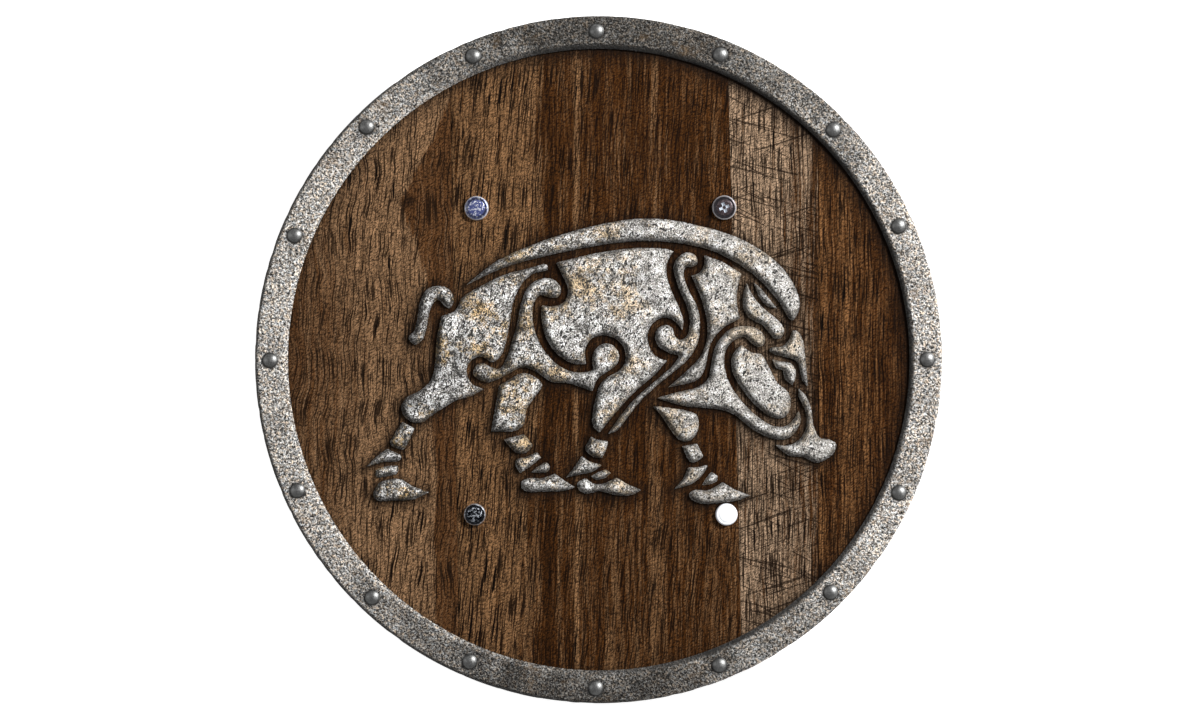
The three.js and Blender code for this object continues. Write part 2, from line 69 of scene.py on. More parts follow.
# Each plank, from left to right: its grid of cells across and along, and its wood: a name, how far the
# grain wanders in m, the slant of the pores in degrees, how striped and how scratched it is, and a seed.
PLANKS = {
    "left": (172, 250, "oiled_oak_wavy", 0.02, -3, 0.24, 0.25, 0.0),
    "middle": (250, 270, "oiled_oak_striped", 0.006, -6, 0.42, 0.2, 3.1),
    "right": (90, 270, "oiled_oak_scratched", 0.006, 0, 0.55, 0.9, 6.7),
    "far_right": (106, 230, "oiled_oak_dark", 0.005, 0, 0.55, 0.4, 9.3),
}
# The edge of the dark heartwood on the left plank, as (y, x), and the middle of its knot, in mm.
LEFT_HEART = [(-280, -146), (-40, -147), (35, -147.5), (71, -151), (108, -164), (141, -177), (172, -161),
              (205, -143), (240, -130), (290, -127)]
KNOT_X, KNOT_Y = -168, 141
# How far the boar and the dirt round it reach from the middle, across and along, in mm.
BOAR_HALF_WIDTH, BOAR_HALF_HEIGHT = 235, 175
# The middle of the rim's face, and where the board goes under its lip, in mm.
RIM_MIDDLE, UNDER_RIM = 290, 274.5
RIVETS = ["rim_rivet_%d" % i for i in range(1, 17)]

# Three toes are too small for the solid model, so they are only here: outlines in mm.
TOES = {
    "plate_far_hind_toe": [(-178.3, -93.8), (-188, -94.6), (-197.3, -97.3), (-198.9, -101.5),
                           (-197, -104.9), (-190, -104.2), (-180, -101.8), (-177.3, -98.3)],
    "plate_fore_toe": [(-7.2, -103.8), (-1.8, -107), (6, -105.1), (10.8, -100.7), (6.6, -97.5),
                       (-0.3, -99.8)],
    "plate_far_fore_toe": [(100.1, -99.5), (95.4, -105), (91.6, -111.6), (99.7, -110.5), (105, -108),
                           (106.2, -103.6)],
}


def linear(shade):
    """A hex sRGB colour as the linear RGB that shaders use."""
    parts = [int(shade[i:i + 2], 16) / 255 for i in (1, 3, 5)]
    return [p / 12.92 if p <= 0.04045 else ((p + 0.055) / 1.055) ** 2.4 for p in parts]


def colour_prop(name, shade, description):
    """A colour that a user can change."""
    return FloatVectorProperty(name=name, description=description, subtype="COLOR", size=3, min=0, max=1,
                               default=linear(shade))


def length_prop(name, size, description):
    """A length that a user can change, given in mm."""
    return FloatProperty(name=name, description=description, default=size * MM, min=0, unit="LENGTH",
                         subtype="DISTANCE")


class ShieldSizes(bpy.types.PropertyGroup):
    """Sizes of the finer shapes that the solid model leaves out"""
    grain_depth: length_prop("Grain depth", 0.28, "How deep the open grain is worn into the planks")
    joint_round: length_prop("Joint rounding", 0.45, "How far the planks' edges are eased at a joint")
    rim_dents: length_prop("Rim dents", 0.5, "How far the rim's face rises and falls")
    rim_pits: length_prop("Rim pits", 0.3, "How deep rust has pitted the rim")
    plate_cell: length_prop("Plate cell", 0.95, "Size of the cells that the boar's plates are modelled in")
    plate_pits: length_prop("Plate pits", 0.42, "How deep the casting skin of the plates is pitted")
    plate_shoulder: length_prop("Plate shoulder", 5.6, "How far the plates' rounded shoulders reach in")
    plate_foot: length_prop("Plate foot", 1.0, "Height of the upright foot under a plate's shoulder")
    plate_rounding: IntProperty(name="Plate rounding", default=4, min=0, max=60,
                                description="How often the plates' edges are smoothed")
    stitch_length: length_prop("Stitch length", 3.6, "Length of one stitch on the arm straps")
    stitch_pitch: length_prop("Stitch pitch", 5.0, "Distance from one stitch to the next")


class ShieldColours(bpy.types.PropertyGroup):
    """Colours of the wood, the metals and the leather"""
    left_pale: colour_prop("Left plank, pale", "#684f38", "Sapwood of the left plank")
    left_dark: colour_prop("Left plank, dark", "#482e18", "Heartwood of the left plank")
    middle_pale: colour_prop("Middle plank, pale", "#5a412a", "Pale side of the middle plank")
    middle_dark: colour_prop("Middle plank, dark", "#381f08", "Dark side of the middle plank")
    right_pale: colour_prop("Right plank, pale", "#6d5a48", "Ground colour of the right plank")
    right_dark: colour_prop("Right plank, dark", "#3d2612", "Darker grain of the right plank")
    far_right_pale: colour_prop("Far right plank, pale", "#533820", "Pale streaks of the far right plank")
    far_right_dark: colour_prop("Far right plank, dark", "#341c07", "Ground colour of the far right plank")
    plate: colour_prop("Plates", "#a9a59f", "Cast metal of the boar")
    plate_gold: colour_prop("Plates, stained", "#f2cd8c", "Yellow stain that tints the plates")
    # The rim's clean and dark colours also give its painted reflection and shade.
    rim: colour_prop("Rim", "#a19d98", "Clean iron of the rim")
    rim_tarnish_and_shade: colour_prop("Rim, tarnished", "#3b3834", "Tarnished iron of the rim")
    rivet: colour_prop("Rivets", "#787877", "Steel of the rivets")
    leather: colour_prop("Leather", "#5b3315", "Arm straps")
    thread: colour_prop("Thread", "#cdb98c", "Waxed thread of the arm straps")
    floor: colour_prop("Floor", "#f4f4f4", "Plain pale floor")


def sizes():
    return bpy.context.scene.shield_sizes


def colours():
    return bpy.context.scene.shield_colours


# ---- Modelling helpers -------------------------------------------------------------------------------

def middle_of(node):
    """The middle of a solid's box seen from above, at height 0."""
    low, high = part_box(node)
    return (low[0] + high[0]) / 2, (low[1] + high[1]) / 2, 0


def pick(*objects):
    """Select only these objects, the first of them active."""
    bpy.ops.object.select_all(action="DESELECT")
    for thing in objects:
        thing.select_set(True)
    bpy.context.view_layer.objects.active = objects[0]


def editing(piece, on, select="SELECT"):
    """Turn edit mode on, with all of the piece selected unless told otherwise, or off."""
    if on:
        pick(piece)
    bpy.ops.object.mode_set(mode="EDIT" if on else "OBJECT")
    if on and select:
        bpy.ops.mesh.select_all(action=select)


def clean(piece, merge=0.0):
    """Merge points that lie closer than a distance, and turn every face outwards."""
    editing(piece, True)
    if merge:
        bpy.ops.mesh.remove_doubles(threshold=merge)
        bpy.ops.mesh.dissolve_degenerate(threshold=merge)
    bpy.ops.mesh.normals_make_consistent(inside=False)
    editing(piece, False)


def settle(piece):
    """Move a primitive's place into its mesh, so that its object is at the origin."""
    pick(piece)
    bpy.ops.object.transform_apply(location=True)


def points_of(piece):
    """The piece's vertices as an array."""
    flat = np.empty(len(piece.data.vertices) * 3, np.float32)
    piece.data.vertices.foreach_get("co", flat)
    return flat.reshape(-1, 3).astype(float)


def set_points(piece, points):
    """Move the piece's vertices."""
    piece.data.vertices.foreach_set("co", points.astype(np.float32).ravel())
    piece.data.update()


def paint(piece, name, values):
    """Store one number for each vertex, for a material to read."""
    layer = piece.data.attributes.new(name, "FLOAT", "POINT")
    layer.data.foreach_set("value", np.asarray(values, np.float32))


def apply(piece, kind, **settings):
    """Add a modifier with its settings and apply it."""
    pick(piece)
    modifier = piece.modifiers.new(kind.title(), kind)
    for name, value in settings.items():
        setattr(modifier, name, value)
    bpy.ops.object.modifier_apply(modifier=modifier.name)


def boolean(piece, tool, operation):
    """Cut a piece by a tool, join it, or keep what they share, and remove the tool."""
    settle(tool)
    apply(piece, "BOOLEAN", object=tool, operation=operation, solver="EXACT")
    bpy.data.objects.remove(tool)


def finish(piece, name, material, slot, *nodes):
    """Name a piece, give it its material and smooth shading, and set it on the shield's body."""
    piece.name = piece.data.name = name
    piece.data.materials.clear()
    piece.data.materials.append(material)
    pick(piece)
    bpy.ops.object.shade_smooth_by_angle(angle=SMOOTH_ANGLE)
    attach(piece, "root")
    if nodes:
        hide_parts(*nodes)


def turned(profile, steps, ring=False):
    """A solid of (radius, height) points in mm turned about Z, from axis to axis or as a closed ring."""
    bpy.ops.mesh.primitive_circle_add(vertices=len(profile), radius=0.01, fill_type="NOTHING")
    piece = bpy.context.object
    for vertex, (radius, height) in zip(piece.data.vertices, profile):
        vertex.co = (radius * MM, 0, height * MM)
    editing(piece, True, select="SELECT" if ring else "DESELECT")
    if not ring:
        # The circle's last edge would lie on the axis, so it goes.
        editing(piece, False)
        for edge in piece.data.edges:
            edge.select = set(edge.vertices) == {0, len(profile) - 1}
        editing(piece, True, select="")
        bpy.ops.mesh.select_mode(type="EDGE")
        bpy.ops.mesh.delete(type="EDGE")
        bpy.ops.mesh.select_mode(type="VERT")
        bpy.ops.mesh.select_all(action="SELECT")
    bpy.ops.mesh.spin(steps=steps, angle=2 * math.pi, center=(0, 0, 0), axis=(0, 0, 1))
    bpy.ops.mesh.select_all(action="SELECT")
    bpy.ops.mesh.remove_doubles(threshold=SAME_POINT)
    bpy.ops.mesh.normals_make_consistent(inside=False)
    editing(piece, False)
    return piece


def copied(piece, move):
    """A copy of a piece with its own mesh, moved by a matrix."""
    pick(piece)
    bpy.ops.object.duplicate(linked=False)
    copy = bpy.context.object
    copy.data.transform(move)
    return copy


def ripple(x, y, seed):
    """Smooth, repeatable noise between -1 and 1, with a hump about once a unit."""
    column, row = np.floor(x).astype(np.int64), np.floor(y).astype(np.int64)
    part_x, part_y = x - column, y - row
    ease_x, ease_y = part_x * part_x * (3 - 2 * part_x), part_y * part_y * (3 - 2 * part_y)

    def corner(i, j):
        """The level at one corner of the lattice, from its whole numbers mixed by large primes."""
        mix = (i * 374761393 + j * 668265263 + seed * 974634777) & 0xFFFFFFFF
        mix = ((mix ^ (mix >> 13)) * 1274126177) & 0xFFFFFFFF
        return ((mix ^ (mix >> 16)) & 0xFFFF) / 32767.5 - 1

    low = corner(column, row) * (1 - ease_x) + corner(column + 1, row) * ease_x
    high = corner(column, row + 1) * (1 - ease_x) + corner(column + 1, row + 1) * ease_x
    return low * (1 - ease_y) + high * ease_y


def step(x, low, high):
    """0 below low, 1 above high, smooth between."""
    part = np.clip((x - low) / (high - low), 0, 1)
    return part * part * (3 - 2 * part)


def hump(x, place, width):
    """1 at a place, falling off smoothly to both sides over a width."""
    return np.exp(-((x - place) / width) ** 2)


# ---- Materials ---------------------------------------------------------------------------------------

def feed(node, inputs):
    """Link those inputs whose value is a socket and set the others. A tuple fills them in their order."""
    for key, value in inputs.items() if isinstance(inputs, dict) else enumerate(inputs):
        if isinstance(value, bpy.types.NodeSocket):
            node.id_data.links.new(value, node.inputs[key])
        else:
            node.inputs[key].default_value = value


def add_node(tree, kind, inputs=(), out=0, stops=(), **settings):
    """Add a node with its settings, colour stops and inputs, and give back one of its outputs."""
    node = tree.nodes.new("ShaderNode" + kind)
    for name, value in settings.items():
        setattr(node, name, value)
    if stops:
        elements = node.color_ramp.elements
        while len(elements) < len(stops):
            elements.new(0.5)
        for element, (position, colour) in zip(elements, stops):
            element.position, element.color = position, (*colour, 1)
    feed(node, inputs)
    return node.outputs[out]


def new_material(name):
    """A material, what adds a node to it, its Principled shader and its object coordinates."""
    material = bpy.data.materials.new(name)
    material.use_nodes = True
    add = functools.partial(add_node, material.node_tree)
    return material, add, material.node_tree.nodes["Principled BSDF"], add("TexCoord", out="Object")


def grey(level):
    """A grey for a colour stop that serves as a mask."""
    return level, level, level


def shades(colour, *stops):
    """Colour stops from pairs of a position and how bright the colour is there."""
    return [(position, [min(1, c * bright) for c in colour]) for position, bright in stops]


def oiled_oak(pale, dark, name, wave, slant, striped, scratched, seed):
    """Oak board: sawn, planed, oiled and worn. Grain runs along Y: faint stripes 1 to 3 mm wide, dark open
    pores under 1 mm wide and 5 to 15 mm long, a slanting nap left by the plane, and scratches across it."""
    material, add, shader, coords = new_material(name)
    heart, grime = (add("Attribute", out="Fac", attribute_name=layer) for layer in ("heart", "grime"))

    # The grain wanders a few mm from side to side every 60 mm or so.
    bend = add("TexNoise", {"Vector": coords, "Scale": 17.0, "Detail": 2.0}, out="Color")
    shift = add("VectorMath", (bend, (0.5, 0.5, 0.5)), operation="SUBTRACT")
    bent = add("VectorMath", (shift, (wave, 0.0, 0.0), coords), operation="MULTIPLY_ADD")

    # Noise drawn out to so many times its width and turned by some degrees from the grain. A scale of 1000
    # is 1 mm wide. The nap and the scratches are drawn twice as coarse as the real ones, so that they show.
    patterns = []
    for start, stretch, turn, scale, detail, roughness in (
            (bent, 30, 0, 110, 3, 0.55),  # broad bands, 9 mm
            (bent, 34, 0, 520, 4, 0.7),  # stripes, 2 mm
            (bent, 30, slant, 830, 1, 0.4),  # closed pores, 1.2 mm apart
            (bent, 32, slant, 740, 1, 0.4),  # open pores
            (coords, 2.6, -48, 1150, 2, 0.6),  # nap
            (coords, 34, -71, 430, 1, 0.5), (coords, 34, -104, 380, 1, 0.5), (coords, 34, 62, 520, 1, 0.5)):
        place = add("Mapping", (start, (seed, seed, 0), (0, 0, math.radians(turn)), (1, stretch, 3)),
                    vector_type="TEXTURE")
        patterns.append(add("TexNoise", {"Vector": place, "Scale": scale, "Detail": detail,
                                         "Roughness": roughness}))
    broad, stripes, pores, open_pores, nap, *lines = patterns

    # Masks for the pores, of which fewer are open in the heartwood, and for scratches that run three ways.
    pores = add("MapRange", (pores, 0.565, 0.595))
    open_pores = add("MapRange", (open_pores, 0.625, 0.65))
    fewer = add("MapRange", (heart, 0.3, 0.75, 1.0, 0.2))
    open_pores = add("Math", (open_pores, fewer), operation="MULTIPLY")
    first, second, third = (add("MapRange", (line, 0.66, 0.69)) for line in lines)
    scratches = add("Math", (first, second), operation="MAXIMUM")
    scratches = add("Math", (scratches, third), operation="MAXIMUM")
    scratches = add("Math", (scratches, scratched), operation="MULTIPLY")

    # Ground colour: pale to dark by the heartwood, pushed a little either way by the stripes.
    tone = heart
    for pattern, reach in ((broad, 0.4 * striped), (stripes, striped)):
        push = add("MapRange", (pattern, 0.3, 0.7, -reach, reach), clamp=False)
        tone = add("Math", (tone, push), operation="ADD")
    stops = shades(pale, (0.0, 1.6), (0.3, 1)) + shades(dark, (0.72, 1), (1.0, 0.55))
    wood = add("ValToRGB", (tone,), stops=stops)
    flecks = add("MapRange", (nap, 0.36, 0.64, 0.22, 1.95))
    wood = add("VectorMath", {0: wood, "Scale": flecks}, operation="SCALE")
    for mask, bright, strength in ((pores, 0.14, 0.9), (open_pores, 0.06, 1.0), (scratches, 0.16, 0.85)):
        mask = add("Math", (mask, strength), operation="MULTIPLY")
        wood = add("Mix", {0: mask, 6: wood, 7: (*[c * bright for c in dark], 1)}, 2, data_type="RGBA")
    # Painted shade round the plates and under the rim's lip, and dirt in the knot, darken the wood.
    wood = add("Mix", {0: grime, 6: wood, 7: (*linear("#120a05"), 1)}, 2, data_type="RGBA")

    height = add("Math", (pores, -0.3), operation="MULTIPLY")
    for part, weight in ((open_pores, -0.5), (stripes, 0.5), (nap, 1.0), (scratches, -0.5)):
        height = add("Math", (part, weight, height), operation="MULTIPLY_ADD")
    feed(shader, {"Base Color": wood, "IOR": 1.48, "Specular IOR Level": 0.05,
                  "Roughness": add("MapRange", (stripes, 0.3, 0.7, 0.52, 0.74)),
                  "Normal": add("Bump", {"Strength": 1.0, "Distance": 0.0014, "Height": height})})
    return material


def cast_plate_metal():
    """Pale cast iron: sand cast, tumbled and weathered. It has a grainy skin with black pits 1 to 2 mm
    across, yellow stains, painted shade at the foot of each edge and along the lower left shoulders, and it
    is cleaner towards the head."""
    material, add, shader, coords = new_material("pale_cast_iron")
    bright, gold = colours().plate, colours().plate_gold
    across, height = (add("SeparateXYZ", (coords,), axis) for axis in "XZ")
    shade = add("Attribute", out="Fac", attribute_name="shade")
    stretched = add("Mapping", {"Vector": coords, "Rotation": (0, 0, -0.3), "Scale": (1.0, 1.7, 1.0)},
                    vector_type="TEXTURE")
    # The casting skin is 1.3 mm, its clouds 8 mm, pits 1.5 mm, stains 5 mm in regions of 38 mm, and the
    # dull places 23 mm.
    skin, cloud, speck, region, stain, dull = (
        add("TexNoise", {"Vector": start, "Scale": scale, "Detail": detail, "Roughness": roughness})
        for start, scale, detail, roughness in (
            (coords, 800, 3, 0.65), (coords, 130, 3, 0.6), (stretched, 680, 1, 0.4), (coords, 26, 1, 0.5),
            (coords, 190, 5, 0.8), (coords, 44, 4, 0.6)))

    # Wear falls off from the tail to the head, and with it the pits, stains and dull places.
    worn = add("MapRange", (across, -0.19, 0.12, 1.0, 0.45))
    limit = add("MapRange", (worn, 0.45, 1.0, -0.6, -0.552))
    pits = add("Math", (speck, limit), operation="ADD")
    pits = add("Math", (pits, 40.0), operation="MULTIPLY", use_clamp=True)
    region = add("Math", (region, 0.5), operation="SUBTRACT")
    stain = add("Math", (region, 0.75, stain), operation="MULTIPLY_ADD")
    stain, dull = add("MapRange", (stain, 0.5, 0.64)), add("MapRange", (dull, 0.4, 0.62))
    stain, dull = (add("Math", (mask, worn), operation="MULTIPLY") for mask in (stain, dull))
    dull = add("MapRange", (dull, 0.2, 1.0, 1.0, 0.4))
    # Painted shade, darkest where each plate's side meets the board.
    foot = add("MapRange", (height, BOARD_FACE, PLATE_TOP - 0.0006, 0.5, 0.0))

    tone = add("Math", (cloud, 0.5, skin), operation="MULTIPLY_ADD")
    tone = add("Math", (tone, 0.75), operation="SUBTRACT")
    tone = add("MapRange", (tone, -0.13, 0.13, -1.0, 1.0), clamp=False)
    tone = add("Math", (tone, worn), operation="MULTIPLY")
    tone = add("MapRange", (tone, -1.0, 1.0))
    stops = shades(bright, (0.12, 0.1), (0.38, 0.62), (0.56, 1.25), (0.8, 2.9))
    metal = add("ValToRGB", (tone,), stops=stops)
    metal = add("VectorMath", {0: metal, "Scale": dull}, operation="SCALE")
    metal = add("Mix", {0: stain, 6: metal, 7: (*gold, 1)}, 2, data_type="RGBA", blend_type="MULTIPLY")
    # Painted shade along the lower left shoulders, painted shade at the foot, then black pits.
    shade = add("Math", (shade, 0.66), operation="MULTIPLY")
    for mask, mark_and_shade in ((shade, "#2b2825"), (foot, "#2a2520"), (pits, "#17130f")):
        metal = add("Mix", {0: mask, 6: metal, 7: (*linear(mark_and_shade), 1)}, 2, data_type="RGBA")

    pits_and_shade = add("Math", (pits, foot), operation="MAXIMUM")
    relief = add("Math", (pits, -0.7), operation="MULTIPLY")
    relief = add("Math", (skin, 1.4, relief), operation="MULTIPLY_ADD")
    feed(shader, {"Base Color": metal, "Metallic": add("MapRange", (pits_and_shade, 0.0, 1.0, 0.75, 0.0)),
                  "Roughness": add("MapRange", (skin, 0.3, 0.7, 0.42, 0.66)),
                  "Normal": add("Bump", {"Strength": 1.0, "Distance": 0.0011, "Height": relief})})
    return material


def rim_iron():
    """Wrought iron strip: rolled, bent round the board and weathered. It is pitted and speckled with black
    and brown, and a painted reflection leaves it darker at the top and bottom of the shield and lighter at
    the sides."""
    material, add, shader, coords = new_material("weathered_rim_iron")
    bright, dull = colours().rim, colours().rim_tarnish_and_shade
    tarnish, grime = (add("Attribute", out="Fac", attribute_name=layer) for layer in ("tarnish", "grime"))
    # The skin is 1.4 mm, the crust 2.5 mm, clouds 26 mm, specks 1.8 mm, rust 17 mm, tints 3 mm, cracks 7 mm.
    skin, crust, cloud, speck, rust, tint, crack = (
        add("TexNoise", {"Vector": coords, "Scale": scale, "Detail": detail, "Roughness": roughness})
        for scale, detail, roughness in (
            (720, 3, 0.7), (400, 2, 0.6), (38, 5, 0.65), (560, 2, 0.6), (60, 6, 0.72), (330, 3, 0.7),
            (150, 5, 0.6)))
    specks = add("ValToRGB", (speck,), stops=[(0.6, grey(0)), (0.69, grey(0.9))])
    rust = add("ValToRGB", (rust,), stops=[(0.56, grey(0)), (0.72, grey(0.55))])

    # Clean to dark by the clouds and by the painted reflection and shade, then made grainy, rubbed bright
    # on the high grains and tinted brown and blue.
    tone = add("MapRange", (cloud, 0.3, 0.7, -0.28, 0.28))
    tone = add("Math", (tarnish, tone), operation="ADD", use_clamp=True)
    metal = add("Mix", {0: tone, 6: (*bright, 1), 7: (*dull, 1)}, 2, data_type="RGBA")
    for grain, low, high in ((skin, 0.0, 2.5), (crust, 0.5, 1.45)):
        grain = add("MapRange", (grain, 0.41, 0.585, low, high))
        metal = add("VectorMath", {0: metal, "Scale": grain}, operation="SCALE")
    rubbed = add("MapRange", (skin, 0.53, 0.64, 0.0, 0.42))
    metal = add("Mix", {0: rubbed, 6: metal, 7: (*bright, 1)}, 2, data_type="RGBA")
    blue, brown = (0.92, 1.0, 1.09), (1.12, 0.98, 0.83)
    tint = add("ValToRGB", (tint,), stops=[(0.36, blue), (0.5, grey(1)), (0.64, brown)])
    metal = add("Mix", {0: 1.0, 6: metal, 7: tint}, 2, data_type="RGBA", blend_type="MULTIPLY")

    # Hairline cracks in the scale follow the middle level of a noise, where the clouds are thick.
    crack = add("Math", (crack, 0.5), operation="SUBTRACT")
    crack = add("Math", (crack,), operation="ABSOLUTE")
    crack = add("MapRange", (crack, 0.004, 0.014, 0.8, 0.0))
    where = add("MapRange", (cloud, 0.52, 0.6))
    crack = add("Math", (crack, where), operation="MULTIPLY")
    # Rust, black specks and cracks, then the painted shade round the rivets, on the bevel and on the outer
    # edge.
    for mask, mark_and_shade in ((rust, "#6b5335"), (specks, "#1a1714"), (crack, "#2c2118"), (grime, "#110f0d")):
        metal = add("Mix", {0: mask, 6: metal, 7: (*linear(mark_and_shade), 1)}, 2, data_type="RGBA")

    pits_and_shade = add("Math", (specks, grime), operation="MAXIMUM")
    height = add("Math", (pits_and_shade, -0.5), operation="MULTIPLY")
    for part, weight in ((skin, 0.9), (crust, 1.1), (crack, -0.8)):
        height = add("Math", (part, weight, height), operation="MULTIPLY_ADD")
    feed(shader, {"Base Color": metal, "Metallic": add("MapRange", (pits_and_shade, 0.0, 1.0, 0.65, 0.1)),
                  "Roughness": add("MapRange", (skin, 0.3, 0.7, 0.55, 0.8)),
                  "Normal": add("Bump", {"Strength": 1.0, "Distance": 0.0017, "Height": height})})
    return material


def rivet_steel():
    """Mild steel: turned on a lathe and driven. It is half bright, with faint scuffs 1.1 mm across, and a
    painted shadow darkens the foot of each head."""
    material, add, shader, coords = new_material("turned_rivet_steel")
    level = add("SeparateXYZ", (coords,), "Z")
    # Painted shadow round the foot of the head, where it meets the rim.
    foot = add("MapRange", (level, RIM_FACE - 0.0002, RIM_FACE + 0.0016, 0.95, 0.0))
    head = add("Math", (level, BOARD_FACE), operation="GREATER_THAN")
    foot = add("Math", (foot, head), operation="MULTIPLY")
    scuff = add("TexNoise", {"Vector": coords, "Scale": 900.0, "Detail": 4.0, "Roughness": 0.6})
    grain = add("MapRange", (scuff, 0.3, 0.7, 0.6, 1.3))
    steel = add("VectorMath", {0: tuple(colours().rivet), "Scale": grain}, operation="SCALE")
    steel = add("Mix", {0: foot, 6: steel, 7: (*linear("#14120f"), 1)}, 2, data_type="RGBA")
    feed(shader, {"Base Color": steel, "Metallic": 1.0,
                  "Roughness": add("MapRange", (scuff, 0.3, 0.7, 0.38, 0.55)),
                  "Normal": add("Bump", {"Strength": 0.35, "Distance": 0.0002, "Height": scuff})})
    return material


def bolt_steel_painted_reflections(name, ground, reflection_colour, amount, bare, spread, centre, slotted=False):
    """Cold-headed steel with painted colours: a ground colour, which on the bolts' heads is a painted
    reflection, with painted reflections in mottles 2.5 mm across, a darker ring near the edge of the head
    and a painted highlight on the edge itself."""
    material, add, shader, coords = new_material(name)
    local = add("Mapping", (coords, (-centre[0], -centre[1], 0)))
    flat = add("VectorMath", (local, (1.0, 1.0, 0.0)), operation="MULTIPLY")
    out = add("VectorMath", (flat,), "Value", operation="LENGTH")
    # The painted dark ring's stops are distances from the axis in cm, for a head that isn't spread.
    ring = add("ValToRGB", (add("Math", (out, 100.0 / spread), operation="MULTIPLY"),), stops=[
        (0.62, grey(0)), (0.74, grey(1.2 * bare)), (0.84, grey(bare)), (0.92, grey(0))])
    mottle = add("TexNoise", {"Vector": local, "Scale": 400.0, "Detail": 4.0, "Roughness": 0.65,
                              "Distortion": 0.9})
    # Painted reflections in light mottles.
    reflection_patch = add("ValToRGB", (mottle,), stops=[(0.53, grey(0)), (0.6, grey(amount))])
    # A painted highlight on the edge of the head.
    edge = add("MapRange", (out, 0.009 * spread, 0.0094 * spread))
    reflection_masks = [(reflection_patch, reflection_colour), (ring, "#23252a"), (edge, "#e6e8ee")]
    if slotted:
        # The walls of the cross slot get a painted highlight.
        low = add("Math", (add("SeparateXYZ", (coords,), "Z"), BOARD_FACE + 0.00425), operation="LESS_THAN")
        near = add("ValToRGB", (add("Math", (out, 100.0), operation="MULTIPLY"),), stops=[
            (0.12, grey(0)), (0.2, grey(1)), (0.48, grey(1)), (0.52, grey(0))])
        reflection_masks.append((add("Math", (low, near), operation="MULTIPLY"), "#e9f0fa"))
    steel = (*linear(ground), 1)
    for mask, reflection_tint in reflection_masks:
        steel = add("Mix", {0: mask, 6: steel, 7: (*linear(reflection_tint), 1)}, 2, data_type="RGBA")
    feed(shader, {"Base Color": steel, "Metallic": bare,
                  "Roughness": add("MapRange", (mottle, 0.3, 0.7, 0.22, 0.45)),
                  "Normal": add("Bump", {"Strength": 0.4, "Distance": 0.0003, "Height": mottle})})
    return material


def saddle_leather():
    """Vegetable-tanned cowhide: cut, burnished at the edges and oiled. It has a pebbled grain 1 mm
    across, creases 11 mm apart, and darker edges."""
    material, add, shader, coords = new_material("saddle_leather")
    edge = add("Attribute", out="Fac", attribute_name="edge")
    pebble = add("TexVoronoi", {"Vector": coords, "Scale": 900.0}, "Distance", feature="DISTANCE_TO_EDGE")
    pebble = add("MapRange", (pebble, 0.0, 0.22))
    crease = add("TexNoise", {"Vector": coords, "Scale": 90.0, "Detail": 8.0, "Roughness": 0.7})
    tone = add("MapRange", (crease, 0.3, 0.7, 0.45, 1.7))
    hide = add("VectorMath", {0: tuple(colours().leather), "Scale": tone}, operation="SCALE")
    hide = add("Mix", {0: edge, 6: hide, 7: (*linear("#1d110a"), 1)}, 2, data_type="RGBA")
    height = add("Math", (pebble, 0.6), operation="MULTIPLY")
    height = add("Math", (crease, 1.5, height), operation="MULTIPLY_ADD")
    feed(shader, {"Base Color": hide, "Specular IOR Level": 0.3,
                  "Roughness": add("MapRange", (crease, 0.3, 0.7, 0.42, 0.62)),
                  "Normal": add("Bump", {"Strength": 0.8, "Distance": 0.0008, "Height": height})})
    return material


def waxed_thread():
    """Linen thread: twisted and waxed. Its twist shows as slanting ridges 1.1 mm apart, about twice as
    coarse as the real ones, so that they show."""
    material, add, shader, coords = new_material("waxed_thread")
    twist = add("TexWave", {"Vector": coords, "Scale": 320.0, "Distortion": 0.5}, "Fac",
                bands_direction="DIAGONAL")
    tone = add("MapRange", (twist, 0.0, 1.0, 0.55, 1.1))
    thread = add("VectorMath", {0: tuple(colours().thread), "Scale": tone}, operation="SCALE")
    feed(shader, {"Base Color": thread, "Roughness": 0.6,
                  "Normal": add("Bump", {"Strength": 0.5, "Distance": 0.0002, "Height": twist})})
    return material


# ---- Planks ------------------------------------------------------------------------------------------

def heartwood(name, x, y):
    """How dark the wood of a plank is, from 0 pale to 1 dark, at points in mm."""
    fray = 3.2 * ripple(x / 2.1, y / 26, 11) + 4 * ripple(x / 30, y / 50, 12)
    if name == "left":
        # Sapwood with faint rings, the dark wedge of heartwood beside the joint, and a knot.
        edge = np.interp(y, *zip(*LEFT_HEART))
        inside = step(x + 0.7 * fray, edge - 1.5, edge + 2.5)
        rings = 0.5 + 0.5 * np.sin((x - 0.9 * edge + fray) * 0.55)
        knot = hump(x, KNOT_X, 4.5) * hump(y, KNOT_Y, 5.5)
        far_left = 0.3 * step(-x, 196, 262) + 0.12 * hump(y, -10, 90) * (1 - inside)
        return 0.14 + 0.56 * inside + 0.1 * rings * (1 - inside) + far_left + 0.6 * knot
    if name == "middle":
        # Dark to the right of a slanting edge and darkest beside it, with pale streaks on both sides.
        edge = -59 + 0.045 * y
        dark = step(x + 3.4 * fray, edge - 12, edge + 22) * (1 - 0.27 * step(-y, 90, 170))
        streaks = 0.3 * hump(x, -45, 6)
        for place, width, depth in (
                (-19, 2.6, 0.62), (50, 4.5, 0.3), (12, 3, 0.16), (86, 4, 0.14), (-96, 5, 0.12)):
            streaks -= depth * hump(x + 0.35 * fray, place, width)
        return 0.24 + 0.5 * dark + streaks
    if name == "right":
        # Even, with a darker right part, a dark strip at its right edge and a pale one at its left.
        side = 0.55 * step(x + 0.5 * fray, 186, 193)
        side += (0.18 + 0.1 * hump(y, 50, 70)) * step(x + 2 * fray, 154, 174) * (1 - side)
        joint, lean = JOINTS[2]
        return 0.22 + side + 0.1 * ripple(x / 9, y / 90, 13) - 0.25 * hump(x, joint + 2 + lean * y, 2.5)
    # The far right plank is dark, with a broad pale streak and a pale left edge.
    pale = 0.34 * hump(x, 217, 13) + 0.5 * hump(x, 197.5, 2.2)
    return 0.72 - pale + 0.12 * ripple(x / 12, y / 120, 14)


